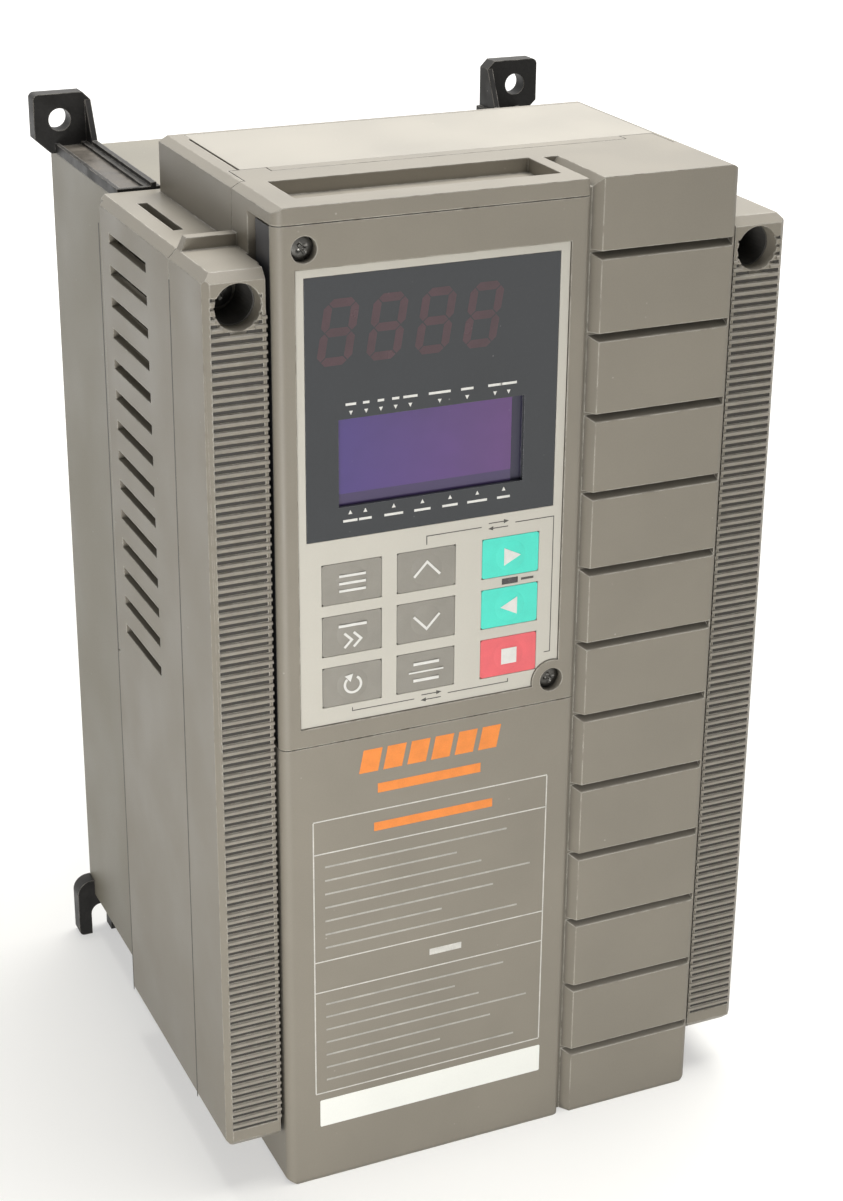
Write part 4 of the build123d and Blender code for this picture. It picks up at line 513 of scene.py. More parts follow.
LCD_STRIP = Finish("display_lower_glass", (0.045, 0.027, 0.095), roughness=0.25, coat=0.3, mottle=0.05,
                   mottle_size=30 * MM, grain=6 * MM, grain_height=0.0, edge_radius=0.0, specks=0.0)
LCD_FRAME = Finish("display_surround", (0.030, 0.028, 0.052), roughness=0.35, mottle=0.08,
                   grain_height=0.004 * MM, edge_wear_and_highlight=0.1, specks=0.1)
LAMP = Finish("run_lamp_lens", (0.060, 0.055, 0.055), roughness=0.25, mottle=0.08, mottle_size=2 * MM,
              grain_height=0.003 * MM, edge_wear_and_highlight=0.15, specks=0.0)
KEY_GREY = Finish("grey_key", (0.272, 0.256, 0.222), worn=(0.44, 0.42, 0.38), roughness=0.45, mottle=0.05,
                  mottle_size=5 * MM, edge_radius=0.2 * MM, edge_wear_and_highlight=0.25, specks=0.3,
                  speck_spacing=4 * MM)
KEY_TEAL = replace(KEY_GREY, name="teal_key", colour=(0.085, 0.72, 0.57), worn=(0.35, 0.78, 0.68),
                   roughness=0.42, mottle_size=6 * MM, specks=0.15, speck_spacing=7 * MM)
KEY_RED = replace(KEY_TEAL, name="red_key", colour=(0.78, 0.135, 0.150), worn=(0.85, 0.38, 0.38))
PRINT_WHITE = Finish("white_print", (0.74, 0.73, 0.69), roughness=0.55, mottle=0.05, mottle_size=2 * MM,
                     grain_height=0.004 * MM, edge_radius=0.0, specks=0.0)
PRINT_PALE = replace(PRINT_WHITE, name="pale_print", colour=(0.62, 0.605, 0.56), roughness=0.6,
                     mottle=0.12, mottle_size=3 * MM)
PRINT_FAINT = replace(PRINT_PALE, name="faint_print", colour=(0.42, 0.405, 0.365), mottle=0.15)
PRINT_DARK = replace(PRINT_WHITE, name="dark_print", colour=(0.075, 0.070, 0.062), mottle=0.15)
PRINT_ORANGE = replace(PRINT_WHITE, name="orange_print", colour=(0.82, 0.255, 0.050),
                       worn=(0.45, 0.32, 0.22), roughness=0.5, mottle=0.07, mottle_size=4 * MM, specks=0.3)
STICKER = Finish("white_sticker", (0.90, 0.905, 0.85), worn=(0.5, 0.48, 0.42), roughness=0.38, mottle=0.02,
                 grain=0.6 * MM, grain_height=0.006 * MM, edge_radius=0.0, specks=0.35)
BOARD = Finish("board_lacquer", (0.020, 0.105, 0.045), worn=(0.3, 0.36, 0.28), roughness=0.3, mottle=0.18,
               mottle_size=6 * MM, edge_wear_and_highlight=0.4, specks=0.5, speck_spacing=3 * MM)
PART_BLACK = Finish("moulded_part", (0.018, 0.018, 0.019), worn=(0.12, 0.12, 0.12), roughness=0.48,
                    mottle=0.1, mottle_size=4 * MM, edge_radius=0.2 * MM, specks=0.2)
PART_CREAM = Finish("relay_case", (0.56, 0.52, 0.42), roughness=0.4, mottle=0.05, mottle_size=8 * MM,
                    specks=0.2)
SLEEVE = Finish("capacitor_sleeve", (0.020, 0.035, 0.130), worn=(0.3, 0.32, 0.4), roughness=0.26,
                mottle=0.06, grain_height=0.008 * MM, edge_wear_and_highlight=0.3, specks=0.2)
TERMINAL_BLACK = Finish("terminal_moulding", (0.022, 0.022, 0.022), worn=(0.14, 0.14, 0.13),
                        roughness=0.45, mottle=0.08, edge_radius=0.2 * MM, specks=0.3)
TERMINAL_GREEN = Finish("green_terminal_moulding", (0.030, 0.190, 0.070), worn=(0.2, 0.4, 0.25),
                        roughness=0.42, mottle=0.06, edge_radius=0.15 * MM)
STEEL = Finish("dark_plated_steel", (0.082, 0.079, 0.073), worn=(0.42, 0.41, 0.38), roughness=0.34,
               roughness_spread=0.12, metallic=1.0, mottle=0.22, mottle_size=2.5 * MM, grain=0.3 * MM,
               edge_radius=0.12 * MM, edge_wear_and_highlight=0.8, specks=0.5, speck_spacing=1.5 * MM)
CORE = Finish("laminated_core", (0.20, 0.19, 0.18), worn=(0.42, 0.4, 0.38), roughness=0.45, metallic=0.9,
              mottle=0.25, mottle_size=1.2 * MM, stretch=(0.05, 1.0, 0.05), edge_wear_and_highlight=0.3)
TIN = Finish("tinned_ends", (0.55, 0.55, 0.53), roughness=0.35, metallic=0.9, mottle=0.1,
             mottle_size=1.5 * MM, edge_radius=0.0, specks=0.1)
TRACK = Finish("lacquered_track", (0.035, 0.165, 0.075), roughness=0.3, mottle=0.1, mottle_size=5 * MM,
               edge_radius=0.0, specks=0.0)
BRASS = Finish("turned_brass", (0.60, 0.46, 0.20), worn=(0.8, 0.68, 0.4), roughness=0.3, metallic=1.0,
               mottle=0.1, mottle_size=3 * MM, edge_wear_and_highlight=0.4)
COPPER = Finish("enamelled_winding", (0.46, 0.16, 0.07), worn=(0.7, 0.4, 0.25), roughness=0.35,
                metallic=0.8, mottle=0.25, mottle_size=0.7 * MM, stretch=(0.1, 0.1, 1.0), edge_wear_and_highlight=0.2)
ALUMINIUM = Finish("extruded_aluminium", (0.56, 0.57, 0.58), worn=(0.8, 0.8, 0.8), roughness=0.38,
                   roughness_spread=0.1, metallic=1.0, mottle=0.1, mottle_size=3 * MM,
                   stretch=(1.0, 1.0, 0.04), grain=0.25 * MM, edge_wear_and_highlight=0.5, specks=0.4)

SLOT_FINISHES: dict[str, Finish] = {
    "taupe_plastic": BODY, "cream_plastic": CREAM, "label_sheet": LABEL, "dark_plastic": DARK,
    "black_plastic": BLACK, "rubber_black": RUBBER, "smoked_window": WINDOW, "led_face": DIGIT,
    "lcd_glass": LCD_FRAME, "lamp_red": LAMP, "key_grey": KEY_GREY, "key_teal": KEY_TEAL,
    "key_red": KEY_RED, "board_green": BOARD, "part_black": PART_BLACK, "part_cream": PART_CREAM,
    "sleeve_blue": SLEEVE, "terminal_black": TERMINAL_BLACK, "terminal_green": TERMINAL_GREEN,
    "zinc_steel": STEEL, "steel_core": CORE, "brass_post": BRASS, "copper_coil": COPPER,
    "heat_sink_alu": ALUMINIUM,
}
NODE_FINISHES: dict[str, Finish] = {"rear_housing": HOUSING, "mid_casing": CASING}


# ---------------------------------------------------------------- shapes


class Facing(Enum):
    """The way that a raised shape faces."""

    FRONT = "front"
    TOP = "top"


@dataclass(frozen=True)
class CrossRecess:
    """A screw's cross-shaped recess, as shares of the head's radius and of its dome."""

    rings: int = 14
    steps: int = 64
    arm: float = 0.58
    half_slot: float = 0.14
    ramp: float = 0.25
    depth: float = 0.9
    fall: float = 0.75
    least: float = 0.02
    hub: float = 0.05


def ribbon(points: list[Point], width: float) -> list[Point]:
    """Gives the outline of a stroke of even width along a bent line.

    Args:
        points: The line's corners.
        width: The stroke's width.

    Returns:
        The outline's points, along one side and back along the other.
    """
    left, right = [], []
    for index, (x, z) in enumerate(points):
        before = points[max(index - 1, 0)]
        after = points[min(index + 1, len(points) - 1)]
        first = Vector((x - before[0], z - before[1]))
        second = Vector((after[0] - x, after[1] - z))
        first = first if first.length else second
        second = second if second.length else first
        first.normalize()
        second.normalize()
        middle = (first + second).normalized()
        normal = Vector((-middle.y, middle.x))
        reach = width / 2 / max(normal.dot(Vector((-first.y, first.x))), MITRE_LIMIT)
        left.append((x + normal.x * reach, z + normal.y * reach))
        right.append((x - normal.x * reach, z - normal.y * reach))
    return left + right[::-1]


def rectangle(low: Point, high: Point) -> list[Point]:
    """Gives the four corners of an upright rectangle."""
    return [low, (high[0], low[1]), high, (low[0], high[1])]


def around(centre: Point, half: Point) -> list[Point]:
    """Gives the four corners of a rectangle about its centre."""
    return rectangle((centre[0] - half[0], centre[1] - half[1]), (centre[0] + half[0], centre[1] + half[1]))


def arc(centre: Point, radius: float, start: float, end: float, steps: int) -> list[Point]:
    """Gives points along an arc, with its angles in degrees.

    Args:
        centre: The arc's centre.
        radius: Its radius.
        start: Where it starts.
        end: Where it ends.
        steps: How many parts it is cut into.

    Returns:
        The points.
    """
    angles = [math.radians(start + (end - start) * step / steps) for step in range(steps + 1)]
    return [(centre[0] + radius * math.cos(angle), centre[1] + radius * math.sin(angle)) for angle in angles]


def rounded_rectangle(low: Point, high: Point, radius: float) -> list[Point]:
    """Gives the outline of a rectangle with rounded corners.

    Args:
        low: The lower left corner.
        high: The upper right corner.
        radius: The corners' radius.

    Returns:
        The outline's points.
    """
    left, right, bottom, top = low[0] + radius, high[0] - radius, low[1] + radius, high[1] - radius
    turns = (((right, top), 0), ((left, top), 90), ((left, bottom), 180), ((right, bottom), 270))
    return [point for centre, turn in turns for point in arc(centre, radius, turn, turn + 90, CORNER_STEPS)]


@dataclass
class Piece:
    """A mesh in the making, which ends as one named object of the scene."""

    name: str
    finish: Finish
    body: str
    slot: str
    mesh: bmesh.types.BMesh = field(default_factory=bmesh.new)

    def prism(self, outline: list[Point], front: float, thickness: float) -> None:
        """Adds a flat shape that faces the front.

        Args:
            outline: Its corners, as X and Z.
            front: The Y of its face.
            thickness: How far it reaches back.
        """
        near = [self.mesh.verts.new((x, front, z)) for x, z in outline]
        far = [self.mesh.verts.new((x, front + thickness, z)) for x, z in outline]
        self._close(near, far)

    def printed(self, outline: list[Point], face: float) -> None:
        """Adds a film of print that stands just proud of a face to the front."""
        self.prism(outline, face - PROUD, PROUD)

    def plate(self, outline: list[Point], top: float, thickness: float) -> None:
        """Adds a flat shape that faces up.

        Args:
            outline: Its corners, as X and Y.
            top: The Z of its face.
            thickness: How far it reaches down.
        """
        near = [self.mesh.verts.new((x, y, top)) for x, y in outline]
        far = [self.mesh.verts.new((x, y, top - thickness)) for x, y in outline]
        self._close(near, far)

    def band(self, inner: list[Point], outer: list[Point], top: float, thickness: float) -> None:
        """Adds a flat closed band between two loops, which faces up.

        Args:
            inner: The inner loop, as X and Y.
            outer: The outer loop, with as many points.
            top: The Z of its face.
            thickness: How far it reaches down.
        """
        foot = top - thickness
        self._skin([[self.mesh.verts.new((x, y, z)) for x, y in loop]
                    for loop, z in ((inner, top), (outer, top), (outer, foot), (inner, foot))])

    def box(self, low: Triple, high: Triple) -> None:
        """Adds a block between two corners."""
        self.prism(rectangle((low[0], low[2]), (high[0], high[2])), low[1], high[1] - low[1])

    def rail(self, profile: list[Point], start: float, end: float) -> None:
        """Adds a shape of one profile that runs across.

        Args:
            profile: Its corners, as Y and Z.
            start: The X of one end.
            end: The X of the other end.
        """
        near = [self.mesh.verts.new((start, y, z)) for y, z in profile]
        far = [self.mesh.verts.new((end, y, z)) for y, z in profile]
        self._close(near, far)

    def drum(self, centre: Vector, radius: float, height: float, steps: int = 24) -> None:
        """Adds a short cylinder that stands out to the front.

        Args:
            centre: The middle of its base.
            radius: Its radius.
            height: How far it stands out.
            steps: How many flats go round.
        """
        base, tip = (self._ring(centre, radius, reach, steps, Facing.FRONT) for reach in (0.0, height))
        self.mesh.faces.new(base[::-1])
        self.mesh.faces.new(tip)
        self._strip(base, tip)

    def tube(self, centre: Vector, inner: float, outer: float, length: float, steps: int = 36) -> None:
        """Adds an open tube that faces the front.

        Args:
            centre: The middle of its front end.
            inner: Its inner radius.
            outer: Its outer radius.
            length: How far it reaches back.
            steps: How many flats go round.
        """
        self._skin([self._ring(centre, radius, -back, steps, Facing.FRONT)
                    for radius, back in ((inner, 0.0), (outer, 0.0), (outer, length), (inner, length))])

    def cross_head(self, centre: Vector, radius: float, dome: float, facing: Facing, turn: float,
                   recess: CrossRecess = CrossRecess()) -> None:
        """Adds a domed screw face with a cross-shaped recess.

        Args:
            centre: The middle of the head's flat face.
            radius: The head's radius.
            dome: How far the face stands above the head.
            facing: Which way the head faces.
            turn: The cross's angle in degrees.
            recess: The recess's shape.
        """
        arm, half = recess.arm * radius, recess.half_slot * radius
        grid = []
        for ring in range(1, recess.rings + 1):
            reach = radius * ring / recess.rings
            row = []
            for step in range(recess.steps):
                angle = 2 * math.pi * step / recess.steps
                u, v = reach * math.cos(angle), reach * math.sin(angle)
                height = dome * (1 - recess.fall * (reach / radius) ** 2)
                near, wide = min(abs(u), abs(v)), max(abs(u), abs(v))
                if near < half and wide < arm:
                    height -= recess.depth * dome * min(1.0, (arm - wide) / (recess.ramp * radius))
                swing = angle + math.radians(turn)
                row.append(self._point(centre, reach * math.cos(swing), reach * math.sin(swing),
                                       max(height, recess.least * dome), facing))
            grid.append(row)
        hub = self._point(centre, 0.0, 0.0, recess.hub * dome, facing)
        rim = self._ring(centre, radius, 0.0, recess.steps, facing, turn)
        grid.append(rim)
        for step in range(recess.steps):
            after = (step + 1) % recess.steps
            self.mesh.faces.new((hub, grid[0][step], grid[0][after]))
            for inner, outer in zip(grid, grid[1:]):
                self.mesh.faces.new((inner[step], outer[step], outer[after], inner[after]))
        self.mesh.faces.new(rim)

    def _point(self, centre: Vector, across: float, along: float, height: float, facing: Facing) -> Vert:
        """Adds a point given in a facing's own axes.

        Args:
            centre: The axes' origin.
            across: The distance to the right.
            along: The distance up, or to the back on a face that looks up.
            height: The distance out of the face.
            facing: Which way the face looks.

        Returns:
            The new point.
        """
        if facing is Facing.FRONT:
            return self.mesh.verts.new((centre.x + across, centre.y - height, centre.z + along))
        return self.mesh.verts.new((centre.x + across, centre.y + along, centre.z + height))

    def _ring(self, centre: Vector, radius: float, height: float, steps: int, facing: Facing,
              turn: float = 0.0) -> list[Vert]:
        """Adds a ring of points about an axis.

        Args:
            centre: The axis's foot.
            radius: The ring's radius.
            height: How far out of the face it lies.
            steps: How many points it has.
            facing: Which way the face looks.
            turn: The angle of its first point in degrees.

        Returns:
            The ring's points.
        """
        angles = [2 * math.pi * step / steps + math.radians(turn) for step in range(steps)]
        return [self._point(centre, radius * math.cos(angle), radius * math.sin(angle), height, facing)
                for angle in angles]

    def _strip(self, first: list[Vert], second: list[Vert]) -> None:
        """Joins two matching rings with a strip of faces.

        Args:
            first: One ring.
            second: The other ring.
        """
        for index in range(len(first)):
            after = (index + 1) % len(first)
            self.mesh.faces.new((first[index], first[after], second[after], second[index]))

    def _skin(self, rings: list[list[Vert]]) -> None:
        """Joins each ring to the next one, and the last one to the first."""
        for first, second in zip(rings, rings[1:] + rings[:1]):
            self._strip(first, second)

    def _close(self, near: list[Vert], far: list[Vert]) -> None:
        """Closes two matching rings with their ends and sides.

        Args:
            near: One ring.
            far: The other ring.
        """
        self.mesh.faces.new(near)
        self.mesh.faces.new(far[::-1])
        for index in range(len(near)):
            after = (index + 1) % len(near)
            self.mesh.faces.new((near[index], far[index], far[after], near[after]))

    def done(self, paint: Paintbox, smooth: bool = False) -> bpy.types.Object:
        """Makes the object, paints it and puts it on its body.

        Args:
            paint: Where its material comes from.
            smooth: Whether its faces are shaded as one surface.

        Returns:
            The finished object.
        """
        bmesh.ops.recalc_face_normals(self.mesh, faces=self.mesh.faces)
        data = bpy.data.meshes.new(self.name)
        self.mesh.to_mesh(data)
        self.mesh.free()
        data.materials.append(paint.material(self.finish))
        made = bpy.data.objects.new(self.name, data)
        bpy.context.scene.collection.objects.link(made)
        if smooth:
            data.polygons.foreach_set("use_smooth", [True] * len(data.polygons))
        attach(made, self.body)
        LOG.info("made %s on %s", self.name, self.body)
        return made


# ---------------------------------------------------------------- keypad


class KeySign(Enum):
    """The plain sign on each key."""

    MENU = "program_key"
    SHIFT = "shift_key"
    RESET = "reset_key"
    UP = "up_key"
    DOWN = "down_key"
    FUNCTION = "function_key"
    FORWARD = "forward_key"
    REVERSE = "reverse_key"
    STOP = "stop_key"


@dataclass
class KeySigns:
    """White signs printed on the nine keys, each drawn about its key's centre."""

    stroke: float = 0.62 * MM
    dome_clear: float = 0.02 * MM
    menu_half: float = 3.4 * MM
    menu_pitch: float = 1.9 * MM
    shift_half: float = 3.6 * MM
    shift_bar: Point = (2.0 * MM, 2.7 * MM)
    shift_arrows: Point = (-1.2 * MM, 1.2 * MM)
    shift_arrow_level: float = -1.5 * MM
    shift_arrow: Point = (1.9 * MM, 1.9 * MM)
    arrow_lift: float = 0.3 * MM
    arrow: Point = (3.4 * MM, 3.6 * MM)
    list_half: float = 4.6 * MM
    list_short_half: float = 3.4 * MM
    list_pitch: float = 2.2 * MM
    list_stroke: float = 0.75 * MM
    run_back: float = 1.9 * MM
    run_tip: float = 2.6 * MM
    run_half: float = 2.3 * MM
    stop_half: float = 2.1 * MM
    ring_radius: float = 2.1 * MM
    ring_start: float = 135
    ring_end: float = 420
    ring_steps: int = 20
    ring_arrow_at: float = 131
    ring_arrow_half: float = 1.15 * MM
    ring_arrow_length: float = 1.9 * MM

    def build(self, paint: Paintbox) -> None:
        """Prints each key's sign on its face.

        Args:
            paint: Where the materials come from.
        """
        for sign in KeySign:
            low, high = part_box(sign.value)
            centre = (low + high) / 2
            piece = Piece(f"sign_on_{sign.value}", PRINT_WHITE, sign.value, "label_sheet")
            for outline in self.outlines(sign):
                placed = [(centre.x + x, centre.z + z) for x, z in outline]
                piece.prism(placed, low.y - self.dome_clear, PROUD)
            piece.done(paint)

    def outlines(self, sign: KeySign) -> list[list[Point]]:
        """Gives a sign's shapes about the key's centre.

        Args:
            sign: Which sign is wanted.

        Returns:
            Its outlines.
        """
        bar = self.stroke
        middle = (0.0, 0.0)
        bar_low, bar_high = self.shift_bar
        forward = [(-self.run_back, -self.run_half), (self.run_tip, 0.0), (-self.run_back, self.run_half)]
        shapes = {
            KeySign.MENU: [around((0.0, z), (self.menu_half, bar / 2))
                           for z in (-self.menu_pitch, 0.0, self.menu_pitch)],
            KeySign.SHIFT: [rectangle((-self.shift_half, bar_low), (self.shift_half, bar_high))]
                           + [ribbon(self.chevron((x, self.shift_arrow_level), *self.shift_arrow, 0), bar)
                              for x in self.shift_arrows],
            KeySign.RESET: self.turn_back(),
            KeySign.UP: [ribbon(self.chevron((0.0, self.arrow_lift), *self.arrow, 90), bar)],
            KeySign.DOWN: [ribbon(self.chevron((0.0, -self.arrow_lift), *self.arrow, 270), bar)],
            KeySign.FUNCTION: [around(middle, (self.list_half, bar / 3))]
                              + [ribbon([(-self.list_short_half, z), (self.list_short_half, z)],
                                        self.list_stroke) for z in (self.list_pitch, -self.list_pitch)],
            KeySign.FORWARD: [forward],
            KeySign.REVERSE: [[(-x, -z) for x, z in forward]],
            KeySign.STOP: [around(middle, (self.stop_half, self.stop_half))],
        }
        return shapes[sign]

    @staticmethod
    def chevron(middle: Point, half: float, length: float, turn: float) -> list[Point]:
        """Gives an arrowhead's line, which points right before it is turned.

        Args:
            middle: Its middle, across and up.
            half: Half its opening.
            length: Its length from the opening to the tip.
            turn: Its direction in degrees.

        Returns:
            The three points.
        """
        x, z = middle
        angle = math.radians(turn)
        line = [(-length / 2, half), (length / 2, 0.0), (-length / 2, -half)]
        return [(x + a * math.cos(angle) - b * math.sin(angle), z + a * math.sin(angle) + b * math.cos(angle))
                for a, b in line]

    def turn_back(self) -> list[list[Point]]:
        """Gives an open ring with an arrowhead.

        Returns:
            The ring's outline and the arrowhead's.
        """
        ring = arc((0.0, 0.0), self.ring_radius, self.ring_start, self.ring_end, self.ring_steps)
        turn = math.radians(self.ring_arrow_at)
        out, on = Vector((math.cos(turn), math.sin(turn))), Vector((math.sin(turn), -math.cos(turn)))
        root = self.ring_radius * out
        head = [root + self.ring_arrow_half * out, root - self.ring_arrow_half * out,
                root + self.ring_arrow_length * on]
        return [ribbon(ring, self.stroke), [tuple(point) for point in head]]


@dataclass
class Display:
    """The smoked window with its unlit digits, its display and its small marks.

    The marks are given as shares of the opening's width and the dashes as lengths.
    """

    low: Vector = field(init=False)
    high: Vector = field(init=False)
    hole_low: Point = field(init=False)
    hole_high: Point = field(init=False)
    opening_left: float = 8.1 * MM
    opening_right: float = 8.5 * MM
    opening_bottom: float = 7.7 * MM
    opening_height: float = 21.6 * MM
    digit_count: int = 4
    digit_pitch: float = 12.1 * MM
    digit_width: float = 8.6 * MM
    digit_height: float = 15.6 * MM
    digit_left: float = 2.6 * MM
    digit_drop: float = 21.0 * MM
    digit_film: float = PROUD / 3
    slant: float = 0.16
    segment: float = 2.0 * MM
    segment_gap: float = 0.18 * MM
    glass_overlap: float = 0.8 * MM
    # How far short of the right edge the glass stops, leaving a band of painted shadow.
    right_shadow_band: float = 2.7 * MM
    glass_corner: float = 0.3 * MM
    glass_back: float = 0.01 * MM
    glass: float = 0.05 * MM
    strip_height: float = 2.9 * MM
    strip_glass: float = 0.04 * MM
    upper_marks: tuple[float, ...] = (0.065, 0.145, 0.222, 0.300, 0.378, 0.535, 0.683, 0.835, 0.910)
    upper_dashes: tuple[float, ...] = (2.6, 1.6, 1.6, 1.8, 3.6, 5.6, 3.2, 3.6, 4.2)
    lower_marks: tuple[float, ...] = (0.060, 0.140, 0.292, 0.447, 0.598, 0.748, 0.895)
    lower_dashes: tuple[float, ...] = (3.6, 3.2, 4.8, 4.2, 4.0, 5.2, 3.4)
    mark_gap: float = 0.9 * MM
    mark_height: float = 1.0 * MM
    mark_half: float = 0.5 * MM
    dash_gap: float = 1.6 * MM
    dash_half: float = 0.3 * MM

    def build(self, paint: Paintbox) -> None:
        """Builds the window, the digits, the display face and the marks.

        Args:
            paint: Where the materials come from.
        """
        self.low, self.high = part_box("display_window")
        self.hole_low = (self.low.x + self.opening_left, self.low.z + self.opening_bottom)
        self.hole_high = (self.high.x - self.opening_right, self.hole_low[1] + self.opening_height)
        self.pane(paint)
        self.digits(paint)
        self.display_face(paint)
        self.marks(paint)

    def pane(self, paint: Paintbox) -> None:
        """Builds the dark pane round the opening for the display.

        Args:
            paint: Where the materials come from.
        """
        piece = Piece("window_pane", WINDOW, "keypad", "smoked_window")
        across = [self.low.x, self.hole_low[0], self.hole_high[0], self.high.x]
        upward = [self.low.z, self.hole_low[1], self.hole_high[1], self.high.z]
        grid = [[[piece.mesh.verts.new((x, y, z)) for z in upward] for x in across]
                for y in (self.low.y, self.high.y)]
        hole = (1, 1)
        for column, row in ((column, row) for column in range(3) for row in range(3)):
            if (column, row) == hole:
                continue
            for layer in grid:
                piece.mesh.faces.new((layer[column][row], layer[column + 1][row],
                                      layer[column + 1][row + 1], layer[column][row + 1]))
        for loop in (self.ring(0, 3), self.ring(1, 2)):
            for (a, b), (c, d) in zip(loop, loop[1:] + loop[:1]):
                piece.mesh.faces.new((grid[0][a][b], grid[0][c][d], grid[1][c][d], grid[1][a][b]))
        made = piece.done(paint)
        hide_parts("display_window")

    @staticmethod
    def ring(first: int, last: int) -> list[tuple[int, int]]:
        """Gives the corners of a square ring of the pane's grid, step by step.

        Args:
            first: The ring's first column and row.
            last: Its last column and row.

        Returns:
            A column and a row for each corner.
        """
        steps = list(range(first, last))
        forward = [(step, first) for step in steps] + [(last, step) for step in steps]
        back = [(step + 1, last) for step in steps[::-1]] + [(first, step + 1) for step in steps[::-1]]
        return forward + back

    def digits(self, paint: Paintbox) -> None:
        """Builds the slanted digits of seven unlit segments.

        Args:
            paint: Where the materials come from.
        """
        piece = Piece("unlit_digits", DIGIT, "keypad", "led_face")
        bottom = self.high.z - self.digit_drop
        for count in range(self.digit_count):
            left = self.low.x + self.digit_left + count * self.digit_pitch
            for outline in self.segments():
                piece.prism([(left + x + self.slant * z, bottom + z) for x, z in outline],
                            self.low.y - self.digit_film, self.digit_film)
        piece.done(paint)

    def segments(self) -> list[list[Point]]:
        """Gives the seven segments of an upright digit from its lower left corner.

        Returns:
            Their outlines.
        """
        width, height, half, gap = self.digit_width, self.digit_height, self.segment / 2, self.segment_gap
        shapes = []
        for z in (half, height / 2, height - half):
            start, end = half + gap, width - half - gap
            shapes.append([(start, z), (start + half, z - half), (end - half, z - half),
                           (end, z), (end - half, z + half), (start + half, z + half)])
        for x in (half, width - half):
            for low, high in ((half, height / 2), (height / 2, height - half)):
                start, end = low + gap, high - gap
                shapes.append([(x, start), (x + half, start + half), (x + half, end - half),
                               (x, end), (x - half, end - half), (x - half, start + half)])
        return shapes

    def display_face(self, paint: Paintbox) -> None:
        """Lays the purple glass on the display, and a darker strip along its foot; the glass stops short of
        the right edge, leaving a dark band of painted shadow.

        Args:
            paint: Where the materials come from.
        """
        low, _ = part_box("lcd_module")
        left, foot = self.hole_low[0] - self.glass_overlap, self.hole_low[1] - self.glass_overlap
        # The glass stops short of the opening's right edge, so the dark module shows there as a painted
        # shadow.
        right, top = self.hole_high[0] - self.right_shadow_band, self.hole_high[1] + self.glass_overlap
        split = self.hole_low[1] + self.strip_height
        face = Piece("display_glass", LCD, "keypad", "lcd_glass")
        face.prism(rounded_rectangle((left, split), (right, top), self.glass_corner),
                   low.y - self.glass - self.glass_back, self.glass)
        face.done(paint)
        lower = Piece("display_lower_strip", LCD_STRIP, "keypad", "lcd_glass")
        lower.prism(rectangle((left, foot), (right, split)), low.y - self.strip_glass - self.glass_back,
                    self.strip_glass)
        lower.done(paint)

    def marks(self, paint: Paintbox) -> None:
        """Prints the pointers above and below the display, each with a short dash.

        Args:
            paint: Where the materials come from.
        """
        piece = Piece("window_marks", PRINT_WHITE, "keypad", "label_sheet")
        width = self.hole_high[0] - self.hole_low[0]
        for shares, dashes, edge, sign in ((self.upper_marks, self.upper_dashes, self.hole_high[1], 1),
                                           (self.lower_marks, self.lower_dashes, self.hole_low[1], -1)):
            for share, dash in zip(shares, dashes):
                x = self.hole_low[0] + share * width
                tip = edge + sign * self.mark_gap
                base = tip + sign * self.mark_height
                piece.printed([(x - self.mark_half, base), (x, tip), (x + self.mark_half, base)], self.low.y)
                line = base + sign * self.dash_gap
                piece.printed(around((x, line), (dash * MM / 2, self.dash_half)), self.low.y)
        piece.done(paint)


